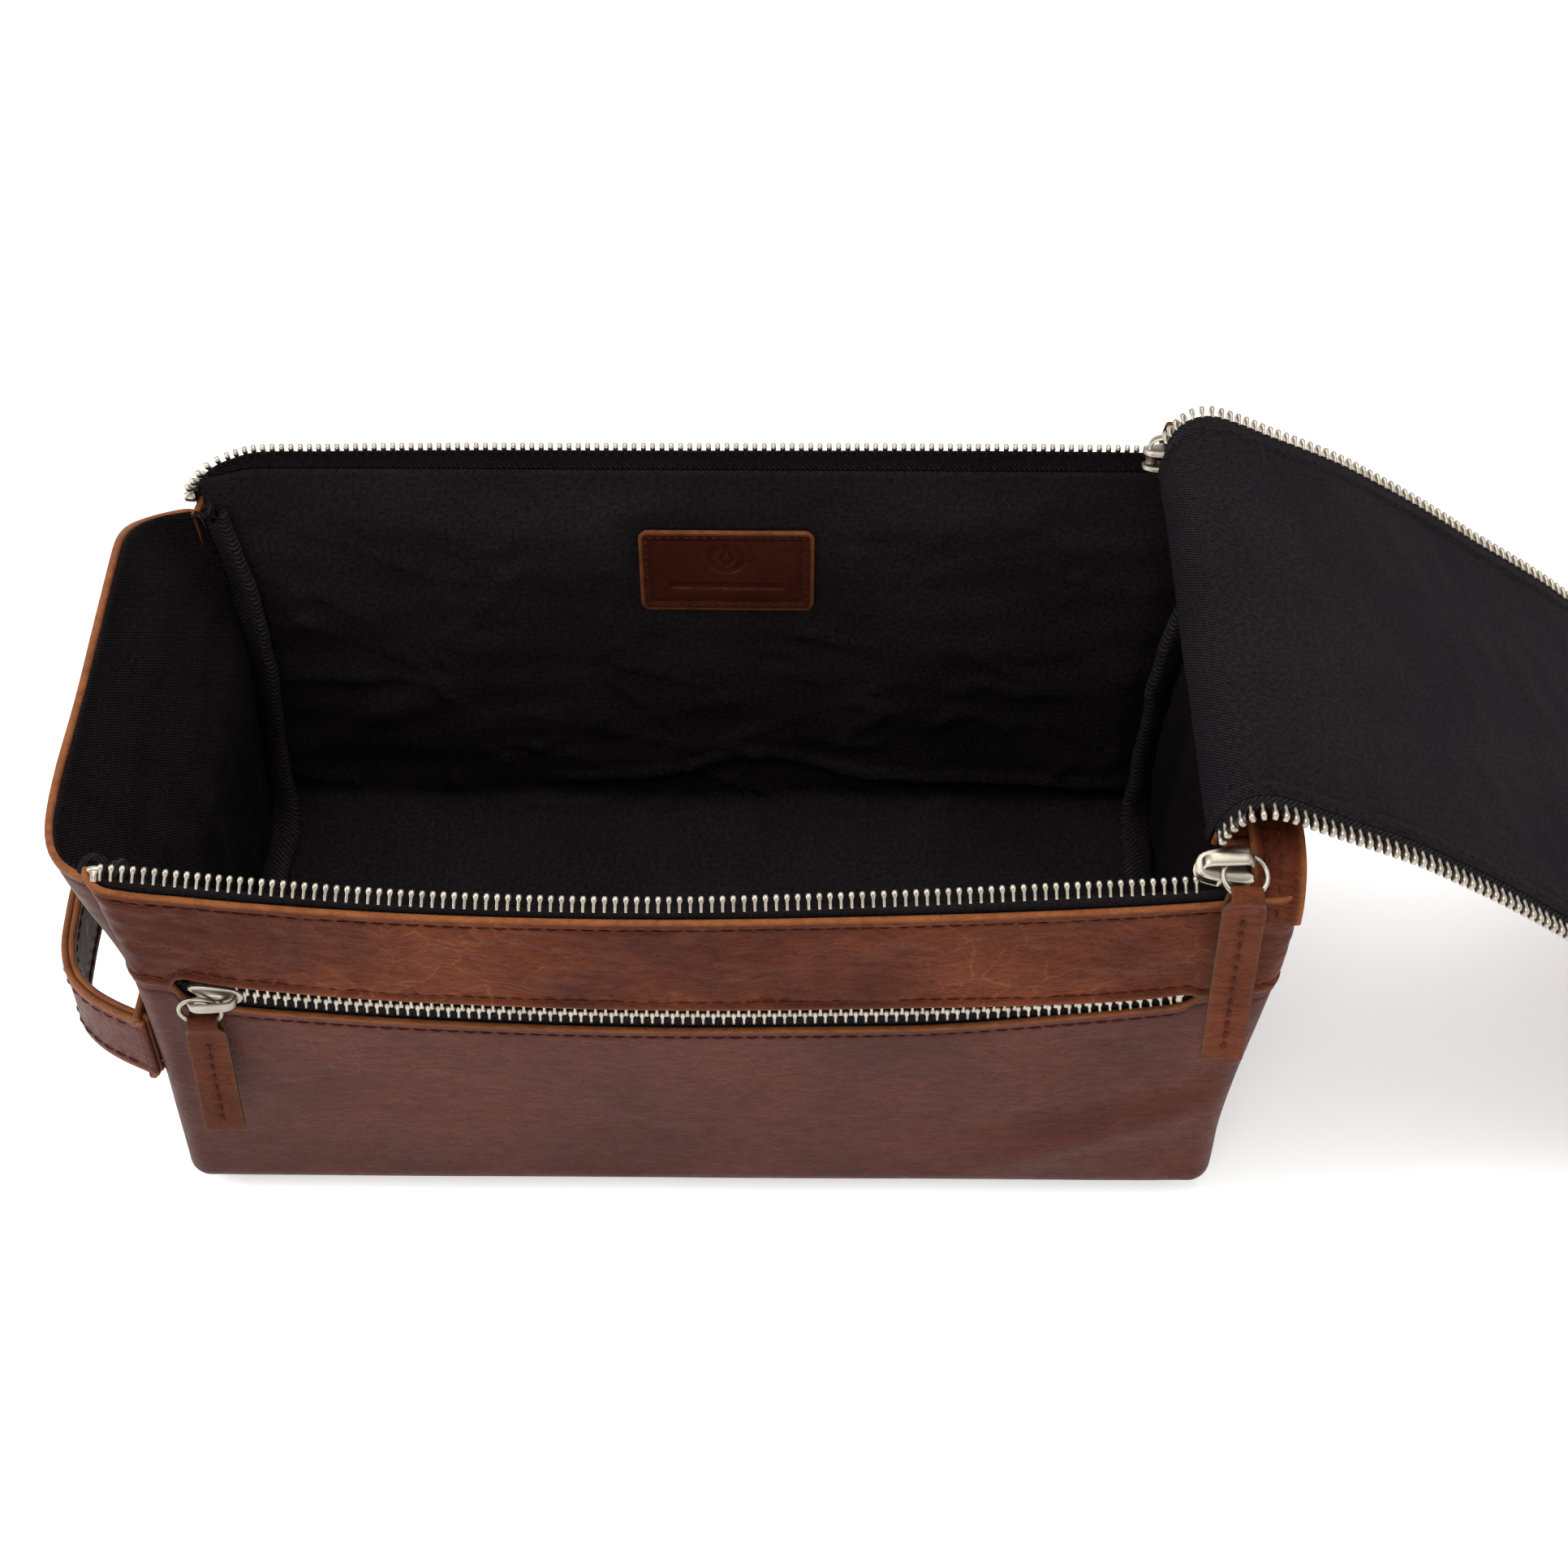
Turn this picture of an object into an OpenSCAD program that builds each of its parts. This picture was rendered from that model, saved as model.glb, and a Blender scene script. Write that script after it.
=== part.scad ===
// Leather shaving kit bag, stood open: a long box of leather and lining with a top flap
// that is zipped along both sides and folds back over the right-hand end.
// Origin: centre of the underside of the base. X runs along the bag, Y to its back, Z up.

/* [Body] */
// Outer length of the bag
body_l = 268; // [220:1:322]
// Outer depth of the base, front to back
body_d = 135; // [112:1:163]
// Height of the leather front and back, to their turned edges
body_h = 128; // [106:1:154]
// How far the front and the back each lean out at their top edge
mouth_flare = 6.5; // [4:0.5:9]
// Height that the left side panel stands above the front edge
side_rise = 2.5; // [1.5:0.5:5]
// How far the left side panel leans out at its top
side_lean = 12; // [6:1:15]
// Height of the upright part of the left side panel
lean_start = 78; // [76:1:90]
// Outer radius of the fold between the base and the front and back
fold_r = 9; // [6:0.5:12]

/* [Sheets] */
// Thickness of the leather
leather_t = 1.4; // [1.1:0.1:1.7]
// Thickness of the lining
lining_t = 0.5; // [0.4:0.1:0.7]
// Thickness of the zip tape
tape_t = 0.6; // [0.5:0.1:0.8]
// Width of the bound seam allowance inside each end
binding_w = 8; // [6:0.5:10]
// Thickness of the bound seam allowance
binding_t = 2; // [1.5:0.25:2.5]

/* [Zip chain] */
// Distance between neighbouring teeth on one tape
tooth_pitch = 2.4; // [2.2:0.1:3]
// Width of a tooth along the tape
tooth_w = 1.2; // [1:0.1:1.4]
// Length of a tooth across the tape
tooth_l = 3; // [2.5:0.1:3.2]
// Thickness of a tooth through the tape
tooth_t = 2.4; // [2:0.1:2.6]
// Bare tape that stands above the leather edge
tape_rise = 5; // [4:0.5:8]
// Slope of the mouth zips, outwards and down
zip_tilt = 20; // [10:1:30]

/* [Zip slider] */
// Length of a slider
slider_l = 13.4; // [12:0.2:15]
// Width of a slider's outer plate
slider_w = 8.4; // [8:0.2:8.8]
// Thickness of a slider's plates
plate_t = 1.2; // [1:0.1:1.4]
// Distance from the middle of a slider to each leg of its bridge
leg_x = 4.6; // [4.4:0.1:4.8]
// Radius of a ring, to the middle of its wire
ring_r = 4.9; // [4.8:0.05:5.9]
// Radius of a ring's wire
wire_r = 0.6; // [0.5:0.05:0.75]

/* [Pulls] */
// Width of a leather pull
pull_w = 10.5; // [8.5:0.5:12.5]
// Length of the pulls of the two mouth zips
mouth_pull_l = 56; // [45:1:68]
// Length of the pull of the pocket zip
pocket_pull_l = 42; // [34:1:51]

/* [Pocket] */
// Height of the zip line of the pocket
pocket_z = 90; // [82:0.5:95]
// Height of the window that shows the pocket zip
window_h = 9; // [8.8:0.2:11]
// Length of the pocket window
window_l = 245; // [200:1:250]

/* [Handle] */
// Height of the middle of the handle strap
handle_z = 61; // [51:1:62]
// Width of the handle strap
handle_w = 22; // [18:1:27]
// How far the handle stands out from the end of the bag
handle_out = 24; // [20:1:30]
// Radius of the handle's two bends
handle_r = 15; // [10:1:17]

/* [Label] */
// Length of the leather patch inside the back
label_l = 47; // [35:1:60]
// Height of the leather patch
label_h = 28; // [20:1:34]
// Corner radius of the leather patch
label_r = 3; // [1:0.5:6]

/* [Hidden] */
$fn = 32;

leather_colour = [0.40, 0.19, 0.12];
edge_colour = [0.58, 0.29, 0.14];
cloth_colour = [0.06, 0.06, 0.07];
metal_colour = [0.78, 0.76, 0.72];

clear = 0.4;                          // running clearance around moving pieces
bite = 0.1;                           // how far the feet of the teeth bite into their tape
steps = 8;                            // chords in a quarter turn

half_l = body_l / 2;
half_d = body_d / 2;
inner_l = half_l - leather_t;
side_top = body_h + side_rise;

// Outer face of the leather back at height z; the front mirrors it.
wall_slope = mouth_flare / (body_h - fold_r);
wall_angle = atan(wall_slope);
function wall(z) = half_d + wall_slope * (z - fold_r);

// The teeth of a pair of tapes stand row_gap to each side of the zip line,
// so that a slider's post can pass between them.
post_w = 0.8;
row_gap = post_w / 2 + clear;
row_foot = row_gap + tooth_l;
foot_z = body_h + tape_rise;
tape_off = leather_t + tape_t;        // inner face of the body's tapes, in from the wall
zip_y = wall(foot_z) - tape_off + bite - row_foot * cos(zip_tilt);
zip_z = foot_z + row_foot * sin(zip_tilt);
mouth_turn = 90 - zip_tilt;

// Slider, ring and pull, measured outwards from the middle of the teeth.
channel = tooth_t / 2 + 0.6;          // half the space between a slider's plates
inner_plate_w = slider_w - 1.4;
plate_out = channel + plate_t;
ring_out = plate_out + 0.8 + wire_r;
bar_in = ring_out + wire_r + clear + 0.1;
bar_t = 1;
bar_w = 1.6;
leg_r = 0.7;
ring_drop = ring_r - 1.5;             // from the zip line to the middle of the ring
ring_side = 0.5;                      // the ring's middle, from the leg that it hangs on
pull_drop = ring_drop + ring_r;       // from the zip line to the wire that a pull hangs on
loop_hole_r = wire_r + 0.8;
fold_t = 1.1;                         // each of the two layers of a pull
loop_r = loop_hole_r + fold_t;
loop_w = 4.4;
hem = loop_hole_r + 0.2;              // top of a pull's wide part, below its wire

end_strip_l = 7.8;                    // leather over the ends of the mouth zips
mouth_slider_x = half_l - end_strip_l - clear - slider_l / 2;
fold_x = mouth_slider_x - slider_l / 2 - clear;
pocket_slider_x = -(window_l / 2 - 3.8 - slider_l / 2);

// The flap: shut, its tapes end at the feet of its teeth.
flap_t = lining_t + leather_t;
flap_under = zip_z + row_foot * sin(zip_tilt) - tape_t / 2;
flap_top = flap_under + flap_t;
flap_half = zip_y - 5.6;
flap_tape_y = zip_y - row_foot * cos(zip_tilt) + bite;
flap_l = fold_x + half_l;
tip_gap = 2.2;                        // from the flap's free end to the floor

// The flap lies open in five stretches: a short one curls it over, the rest hang.
first_lengths = [17, 34, 45, 60];
first_dirs = [58, -19, -31.5, -38.5];
last = len(first_lengths);
bend_gap = 0.35;                      // from a bend to the stretch on each side of it
end_bare = 6;                         // bare tape at the flap's free end
edge_start = 9;                       // bare edge beside the sliders, before the tapes begin
function sum(v, n, i = 0) = i >= n ? 0 : v[i] + sum(v, n, i + 1);
last_length = flap_l - sum(first_lengths, last);
flap_lengths = concat(first_lengths, [last_length]);
function start_x(i) = i == 0 ? fold_x : start_x(i - 1) + flap_lengths[i - 1] * cos(flap_dir(i - 1));
function start_z(i) = i == 0 ? flap_top : start_z(i - 1) + flap_lengths[i - 1] * sin(flap_dir(i - 1));
function flap_dir(i) = i < last ? first_dirs[i] : -asin(min(0.98, (start_z(last) - tip_gap) / last_length));

// ---- helpers ----

function arc(cx, cy, r, a0, a1) =
    [for (i = [0:steps]) [cx + r * cos(a0 + (a1 - a0) * i / steps), cy + r * sin(a0 + (a1 - a0) * i / steps)]];
function reversed(v) = [for (i = [len(v) - 1:-1:0]) v[i]];

// Down the front, across the base and up the back, off inside the leather's outer face.
function wrap_line(off, top) = concat(
    [[off - wall(top), top]], arc(fold_r - half_d, fold_r, fold_r - off, 180, 270),
    arc(half_d - fold_r, fold_r, fold_r - off, 270, 360), [[wall(top) - off, top]]);

// The same inside the lining, whose front stands off further to leave room for the pocket.
function lining_line(off, top) = concat(
    [[front_off + off - wall(top), top]],
    arc(front_off + lining_fold_r - half_d, tape_off + lining_fold_r, lining_fold_r - off, 180, 270),
    arc(half_d - fold_r, fold_r, fold_r - tape_off - off, 270, 360),
    [[wall(top) - tape_off - off, top]]);

// A section in Y and Z, drawn out from x0 to x1.
module along(x0, x1) { translate([x0, 0, 0]) rotate([90, 0, 90]) linear_extrude(x1 - x0) children(); }

// A sheet on the back wall between two depths inside its outer face.
module wall_sheet(x0, x1, off0, off1, z0, z1) {
    along(x0, x1) polygon([[wall(z0) - off1, z0], [wall(z0) - off0, z0],
                           [wall(z1) - off0, z1], [wall(z1) - off1, z1]]);
}

module slab(x0, x1, y0, y1, z0, z1) {
    translate([x0, y0, z0]) cube([x1 - x0, y1 - y0, z1 - z0]);
}

// What the bag has at its front, drawn as if it were at the back.
module front_side() { mirror([0, 1, 0]) children(); }

// The zip line of the mouth, and that of the pocket: Y points out of the teeth, Z across them.
module on_mouth(x) { translate([x, zip_y, zip_z]) rotate([mouth_turn, 0, 0]) children(); }

module on_pocket(x) {
    front_side() translate([x, wall(pocket_z) - leather_t - tape_t / 2, pocket_z])
        rotate([-wall_angle, 0, 0]) children();
}

// A row of teeth from x0 to x1 between z0 and z1.
module tooth_row(x0, x1, z0, z1) {
    for (i = [0:floor((x1 - x0 - tooth_w) / tooth_pitch)])
        slab(x0 + i * tooth_pitch, x0 + i * tooth_pitch + tooth_w, -tooth_t / 2, tooth_t / 2, z0, z1);
}

// ---- leather ----

window_top = pocket_z + window_h / 2;
window_bottom = pocket_z - window_h / 2;

module body_wrap() {
    color(leather_colour) difference() {
        along(-half_l, half_l) polygon(concat(wrap_line(0, body_h), reversed(wrap_line(leather_t, body_h))));
        slab(-half_l - 1, half_l + 1, -2 * half_d, -half_d / 2, window_top, body_h + 1);
        slab(-window_l / 2, window_l / 2, -2 * half_d, -half_d / 2, window_bottom, window_top + 1);
    }
}

module front_band() {
    color(leather_colour) front_side() wall_sheet(-half_l, half_l, 0, leather_t, window_top, body_h);
}

// The left end in section, leaning out towards the mouth; distances from its inside face.
knee_z = lean_start + (side_top - lean_start) * 0.55;
knee = side_lean * 0.4;
function lean_line(off) = [[off, 0], [off, lean_start], [off + knee, knee_z], [off + side_lean, side_top]];

module lean_sheet(off) {
    translate([-inner_l, 2 * half_d, 0]) rotate([90, 0, 0]) linear_extrude(4 * half_d) mirror([1, 0])
        polygon(concat(lean_line(off), reversed(lean_line(off + (off < 0 ? lining_t : leather_t)))));
}

// Fills the corner between the leaning end and the end of the body.
module lean_corner() {
    intersection() {
        translate([-inner_l, 2 * half_d, 0]) rotate([90, 0, 0]) linear_extrude(2 * half_d) mirror([1, 0])
            polygon([[leather_t, side_top], [leather_t, lean_start + (knee_z - lean_start) * leather_t / knee],
                     [knee, knee_z], [side_lean, side_top]]);
        wall_sheet(-half_l - side_lean, 0, leather_t, 2 * leather_t, lean_start, side_top);
    }
}

module left_side_panel() {
    color(leather_colour) union() {
        intersection() {
            lean_sheet(0);
            along(-2 * half_l, 0) polygon(wrap_line(leather_t, side_top));
        }
        lean_corner();
        front_side() lean_corner();
    }
}

module right_side_panel() {
    color(leather_colour) union() {
        along(inner_l, half_l) polygon(wrap_line(leather_t, cover_knee - 1));
        slab(inner_l, half_l, -flap_half, flap_half, cover_knee - 2, flap_under + lining_t);
    }
}

module top_end_strip() {
    color(leather_colour)
        slab(fold_x + bend_gap, half_l, -flap_half, flap_half, flap_under + lining_t, flap_top);
}

module top_end_lining() {
    color(cloth_colour)
        slab(fold_x + bend_gap, inner_l, -flap_half, flap_half, flap_under, flap_under + lining_t);
}

// Leather that closes the end of each mouth zip, from the top strip down to the body.
cover_low = body_h - 6;
cover_knee = flap_top - 4;
cover_in = 3;

module zip_end_cover() {
    along(half_l - end_strip_l, half_l) polygon([
        [flap_half, flap_top], [wall(cover_knee) - cover_in, flap_top],
        [wall(cover_knee) + leather_t, cover_knee], [wall(cover_low) + leather_t, cover_low],
        [wall(cover_low), cover_low], [wall(cover_knee), cover_knee - clear],
        [wall(cover_knee) - cover_in - clear, flap_top - leather_t], [flap_half, flap_top - leather_t]]);
}

module zip_end_covers() {
    color(edge_colour) union() {
        zip_end_cover();
        front_side() zip_end_cover();
    }
}

// ---- lining ----

pouch_in = leather_t + tape_t / 2 + plate_out + clear;    // front face of the pocket's back wall
front_off = pouch_in + lining_t + clear;
lining_fold_r = 3;
lining_top = body_h - 3;

module lining_wrap() {
    color(cloth_colour) union() {
        along(-inner_l, inner_l)
            polygon(concat(lining_line(0, lining_top), reversed(lining_line(lining_t, lining_top))));
        front_side()
            wall_sheet(-inner_l, inner_l, tape_off, front_off + lining_t, lining_top, lining_top + lining_t);
    }
}

module lining_left() {
    color(cloth_colour) intersection() {
        lean_sheet(-lining_t);
        along(-2 * half_l, 0) polygon(lining_line(leather_t, lining_top));
    }
}

module lining_right() {
    color(cloth_colour) along(inner_l - lining_t, inner_l) polygon(lining_line(lining_t, lining_top));
}

// Bound seam allowance: down one end of the front, across the base and up the back.
binding_top = lining_top - 2;

module seam_binding() {
    along(inner_l - lining_t - binding_w, inner_l - lining_t)
        polygon(concat(lining_line(lining_t, binding_top), reversed(lining_line(lining_t + binding_t, binding_top))));
}

module seam_binding_right() { color(cloth_colour) seam_binding(); }

module seam_binding_left() { color(cloth_colour) mirror([1, 0, 0]) seam_binding(); }

pouch_bottom = fold_r + 5;
pouch_top = body_h - 16;
pouch_half = window_l / 2 + 1.5;

module pocket_pouch() {
    color(cloth_colour) front_side() difference() {
        wall_sheet(-pouch_half, pouch_half, tape_off, pouch_in + lining_t, pouch_bottom, pouch_top);
        wall_sheet(-pouch_half + lining_t, pouch_half - lining_t, tape_off + lining_t, pouch_in,
                   pouch_bottom + lining_t, body_h);
        wall_sheet(-pouch_half - 1, pouch_half + 1, 0, pouch_in, window_bottom, body_h);
    }
}

label_x = 5;
label_mid_z = body_h - 33;
label_t = 1.1;

module label_patch() {
    color(edge_colour) translate([label_x, wall(label_mid_z) - tape_off - lining_t, label_mid_z])
        rotate([90 - wall_angle, 0, 0]) linear_extrude(label_t) union() {
            square([label_l - 2 * label_r, label_h], center = true);
            square([label_l, label_h - 2 * label_r], center = true);
            for (sx = [-1, 1], sz = [-1, 1])
                translate([sx * (label_l / 2 - label_r), sz * (label_h / 2 - label_r)]) circle(label_r);
        }
}

// ---- zips ----

row_left = -half_l + 5;
row_right = half_l - end_strip_l;
tape_w = 16;

module mouth_tape() { wall_sheet(-inner_l, inner_l, leather_t, tape_off, foot_z - tape_w, foot_z + tape_t / 2); }

module back_zip_tape() { color(cloth_colour) mouth_tape(); }

module front_zip_tape() { color(cloth_colour) front_side() mouth_tape(); }

module mouth_teeth() { on_mouth(0) tooth_row(row_left, row_right, -row_foot, -row_gap); }

module back_zip_teeth() { color(metal_colour) mouth_teeth(); }

module front_zip_teeth() { color(metal_colour) front_side() mouth_teeth(); }

pocket_row_half = window_l / 2 - 1;
pocket_tape_w = 9;

module pocket_zip_tapes() {
    color(cloth_colour) on_pocket(0) union() {
        for (side = [-1, 1]) scale([1, 1, side])
            slab(-window_l / 2, window_l / 2, -tape_t / 2, tape_t / 2, row_foot - bite, row_foot + pocket_tape_w);
    }
}

module pocket_zip_teeth() {
    color(metal_colour) on_pocket(0) union() {
        tooth_row(-pocket_row_half, pocket_row_half, -row_foot, -row_gap);
        tooth_row(-pocket_row_half + tooth_pitch / 2, pocket_row_half, row_gap, row_foot);
    }
}

stop_l = 2;

// Metal stops at the left ends of the mouth tapes.
module zip_stop() {
    on_mouth(row_left - stop_l - 0.6) slab(0, stop_l, -tooth_t / 2, tooth_t / 2, -row_foot, -row_gap);
}

module zip_stops() {
    color(metal_colour) union() {
        zip_stop();
        front_side() zip_stop();
    }
}

// A slider with its zip line at the origin, its outer side towards +Y and its nose towards -X.
module slider_body() {
    union() {
        for (plate = [[plate_out, slider_w], [-channel, inner_plate_w]])
            translate([0, plate[0], 0]) rotate([90, 0, 0]) linear_extrude(plate_t) intersection() {
                square([slider_l, plate[1]], center = true);
                circle(slider_l / 2 + 0.6);
            }
        slab(-slider_l / 2 + 0.8, -slider_l / 2 + 3.2, -channel, channel, -post_w / 2, post_w / 2);
        for (side = [-1, 1])
            translate([side * leg_x, plate_out, 0]) rotate([-90, 0, 0])
                cylinder(r = leg_r, h = bar_in + bar_t - plate_out);
        slab(-leg_x - leg_r, leg_x + leg_r, bar_in, bar_in + bar_t, -bar_w / 2, bar_w / 2);
    }
}

// The wire ring that hangs on the leg at side -1 or 1 of a slider.
module wire_ring(side) {
    translate([side * (leg_x - ring_side), ring_out, -ring_drop]) rotate([90, 0, 0])
        rotate_extrude() translate([ring_r, 0]) circle(wire_r);
}

// A folded leather pull that hangs straight down from a ring on a slider turned by turn.
module leather_pull(side, turn, length) {
    translate([side * (leg_x - ring_side), ring_out * cos(turn) + pull_drop * sin(turn),
               ring_out * sin(turn) - pull_drop * cos(turn)]) difference() {
        union() {
            translate([-loop_w / 2, 0, 0]) rotate([0, 90, 0]) cylinder(r = loop_r, h = loop_w);
            slab(-loop_w / 2, loop_w / 2, -fold_t, fold_t, -hem - 2, -loop_hole_r);
            slab(-pull_w / 2, pull_w / 2, -fold_t, fold_t, loop_r - length, -hem);
        }
        translate([-pull_w / 2 - 1, 0, 0]) rotate([0, 90, 0]) cylinder(r = loop_hole_r, h = pull_w + 2);
    }
}

module mouth_pull() {
    translate([mouth_slider_x, zip_y, zip_z]) leather_pull(1, mouth_turn, mouth_pull_l);
}

module front_slider() { color(metal_colour) front_side() on_mouth(mouth_slider_x) slider_body(); }

module front_ring() { color(metal_colour) front_side() on_mouth(mouth_slider_x) wire_ring(1); }

module front_pull() { color(leather_colour) front_side() mouth_pull(); }

module back_slider() { color(metal_colour) on_mouth(mouth_slider_x) slider_body(); }

module back_ring() { color(metal_colour) on_mouth(mouth_slider_x) wire_ring(1); }

module back_pull() { color(leather_colour) mouth_pull(); }

module pocket_slider() { color(metal_colour) on_pocket(pocket_slider_x) slider_body(); }

module pocket_ring() { color(metal_colour) on_pocket(pocket_slider_x) wire_ring(-1); }

module pocket_pull() {
    color(leather_colour) front_side()
        translate([pocket_slider_x, wall(pocket_z) - leather_t - tape_t / 2, pocket_z])
            leather_pull(-1, -wall_angle, pocket_pull_l);
}

// ---- handle ----

handle_half = half_d - 5;
tab_l = 2;                                 // the part of each end that stays sewn to the bag
flex = 5;                                  // where the leather bends between tab and strap
layer_t = 1.5;
bend_r = min(handle_r, handle_out - tab_l - flex - 1);

// The strap's line in plan, from the front seam round to the back seam.
function strap_line(off) = concat(
    [[-half_l - tab_l - flex, off - handle_half]],
    reversed(arc(-half_l - handle_out + bend_r, bend_r - handle_half, bend_r - off, 180, 270)),
    reversed(arc(-half_l - handle_out + bend_r, handle_half - bend_r, bend_r - off, 90, 180)),
    [[-half_l - tab_l - flex, handle_half - off]]);

module strap_layer(off) {
    translate([0, 0, handle_z - handle_w / 2]) linear_extrude(handle_w)
        polygon(concat(strap_line(off), reversed(strap_line(off + layer_t))));
}

module handle_outer() { color(leather_colour) strap_layer(0); }

module handle_inner() { color(leather_colour) strap_layer(layer_t); }

module handle_tab() {
    slab(-half_l - tab_l, -half_l, handle_half - 2 * layer_t, handle_half,
         handle_z - handle_w / 2, handle_z + handle_w / 2);
}

module handle_tabs() {
    color(leather_colour) union() {
        handle_tab();
        front_side() handle_tab();
    }
}

// ---- flap ----

// Children are drawn as if the flap were shut, with stretch i starting at x = 0 and running
// towards -X, its leather's outer face at z = 0; this lays them where stretch i lies when open.
module on_stretch(i) {
    translate([start_x(i), 0, start_z(i)]) rotate([0, 180 - flap_dir(i), 0]) children();
}

module stretch_slab(i, from, y0, y1, z0, z1) {
    slab(-flap_lengths[i] + (i == last ? 0 : bend_gap), -from, y0, y1, z0, z1);
}

module flap_leather(i) {
    color(leather_colour) on_stretch(i) stretch_slab(i, bend_gap, -flap_half, flap_half, lining_t - flap_t, 0);
}

// The lining, with the zip tapes that stick out from under the leather past the sliders.
module flap_lining(i) {
    color(cloth_colour) on_stretch(i) union() {
        stretch_slab(i, bend_gap, -flap_half, flap_half, -flap_t, lining_t - flap_t);
        for (y = [-flap_tape_y, flap_half])
            stretch_slab(i, i == 0 ? edge_start : bend_gap, y, y + flap_tape_y - flap_half,
                         -flap_t, tape_t - flap_t);
    }
}

// Teeth keep one pitch along the whole flap, half a pitch out of step with the body's teeth.
module flap_teeth_side(first, final) {
    translate([0, zip_y, zip_z - flap_top]) rotate([mouth_turn, 0, 0])
        for (k = [first:final])
            slab(-k * tooth_pitch - tooth_w / 2, tooth_w / 2 - k * tooth_pitch,
                 -tooth_t / 2, tooth_t / 2, row_gap, row_foot);
}

module flap_teeth(i) {
    from = sum(flap_lengths, i);
    start_gap = i == 0 ? edge_start : bend_gap;
    end_gap = i == last ? end_bare : bend_gap;
    first = ceil((from + start_gap + tooth_w / 2) / tooth_pitch);
    final = floor((from + flap_lengths[i] - end_gap - tooth_w / 2) / tooth_pitch);
    color(metal_colour) on_stretch(i) translate([from, 0, 0]) union() {
        flap_teeth_side(first, final);
        front_side() flap_teeth_side(first, final);
    }
}

// ---- the bag ----

body_wrap();
front_band();
left_side_panel();
right_side_panel();
top_end_strip();
top_end_lining();
zip_end_covers();
lining_wrap();
lining_left();
lining_right();
pocket_pouch();
seam_binding_left();
seam_binding_right();
label_patch();
front_zip_tape();
back_zip_tape();
front_zip_teeth();
back_zip_teeth();
pocket_zip_tapes();
pocket_zip_teeth();
zip_stops();
handle_tabs();
handle_outer();
handle_inner();
front_slider();
front_ring();
front_pull();
back_slider();
back_ring();
back_pull();
pocket_slider();
pocket_ring();
pocket_pull();
for (i = [1:5]) {
    flap_leather(i - 1);
    flap_lining(i - 1);
    flap_teeth(i - 1);
}
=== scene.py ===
"""Leather shaving kit bag, stood open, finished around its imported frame."""

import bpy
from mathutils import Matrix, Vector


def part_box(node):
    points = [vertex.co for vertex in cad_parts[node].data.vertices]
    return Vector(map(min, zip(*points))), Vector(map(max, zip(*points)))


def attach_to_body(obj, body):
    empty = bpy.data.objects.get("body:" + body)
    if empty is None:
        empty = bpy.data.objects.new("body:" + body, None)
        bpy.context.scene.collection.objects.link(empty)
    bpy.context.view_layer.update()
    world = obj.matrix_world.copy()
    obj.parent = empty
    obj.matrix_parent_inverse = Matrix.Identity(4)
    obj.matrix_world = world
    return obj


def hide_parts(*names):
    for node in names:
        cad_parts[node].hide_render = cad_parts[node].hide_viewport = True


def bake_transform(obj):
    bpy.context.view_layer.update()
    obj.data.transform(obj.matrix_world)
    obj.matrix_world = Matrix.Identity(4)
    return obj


bl_info = {
    "name": "Shaving Kit Bag",
    "version": (1, 0, 0),
    "blender": (4, 5, 0),
    "location": "View3D > Sidebar > Kit Bag",
    "description": "Builds a leather shaving kit bag with its zips, linings and stitching",
    "category": "Object",
}

import bpy
import numpy as np
from bpy.props import FloatProperty, FloatVectorProperty, PointerProperty
from mathutils import Euler

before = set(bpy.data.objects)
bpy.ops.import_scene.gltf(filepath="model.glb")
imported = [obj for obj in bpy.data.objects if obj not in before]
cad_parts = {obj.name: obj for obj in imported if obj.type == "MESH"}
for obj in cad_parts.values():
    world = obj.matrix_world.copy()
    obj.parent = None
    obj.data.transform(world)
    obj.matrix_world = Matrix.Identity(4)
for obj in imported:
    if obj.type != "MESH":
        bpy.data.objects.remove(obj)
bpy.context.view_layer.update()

MM = 0.001


# ---- sizes and colours ----


def length(name, words, default, low, high):
    """A length property, in metres."""
    return FloatProperty(name=name, description=words, default=default, min=low, max=high, precision=4,
                         subtype="DISTANCE", unit="LENGTH")


class BagSizes(bpy.types.PropertyGroup):
    """Sizes that every piece is worked out from"""

    leather: length("Leather", "Thickness of the leather", 0.0014, 0.0010, 0.0018)
    lining: length("Lining", "Thickness of the lining cloth", 0.0005, 0.0003, 0.0008)
    pitch: length("Tooth pitch", "Distance between teeth on one tape", 0.0024, 0.0022, 0.0030)
    stitch: length("Stitch pitch", "Distance from one stitch to the next", 0.0039, 0.0025, 0.0050)
    sag: length("Front sag", "How far the middle of the front bulges out at its top", 0.005, 0.0, 0.008)


def colour(name, words, value):
    """A colour property, in linear red, green and blue."""
    return FloatVectorProperty(name=name, description=words, default=value, size=3, subtype="COLOR",
                               min=0.0, max=1.0)


class BagColours(bpy.types.PropertyGroup):
    """Colours of the bag's finishes"""

    leather: colour("Leather", "Main tone of the leather", (0.056, 0.0125, 0.0070))
    leather_light: colour("Leather, light", "Lighter tone in the leather's clouds", (0.112, 0.0270, 0.0098))
    edge: colour("Turned edge", "Leather where it is folded or worn", (0.205, 0.070, 0.024))
    thread: colour("Thread", "Stitching in the leather", (0.050, 0.0125, 0.0075))
    cloth: colour("Lining", "Twill lining", (0.0075, 0.0064, 0.0072))
    metal: colour("Zip metal", "Teeth, sliders and rings", (0.41, 0.365, 0.30))


def size(key):
    """One of the bag's sizes, in millimetres."""
    return getattr(bpy.context.scene.kit_bag_sizes, key) / MM


def colours():
    """The bag's colours, as set in the sidebar."""
    return bpy.context.scene.kit_bag_colours


# ---- curves and fields ----


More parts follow.
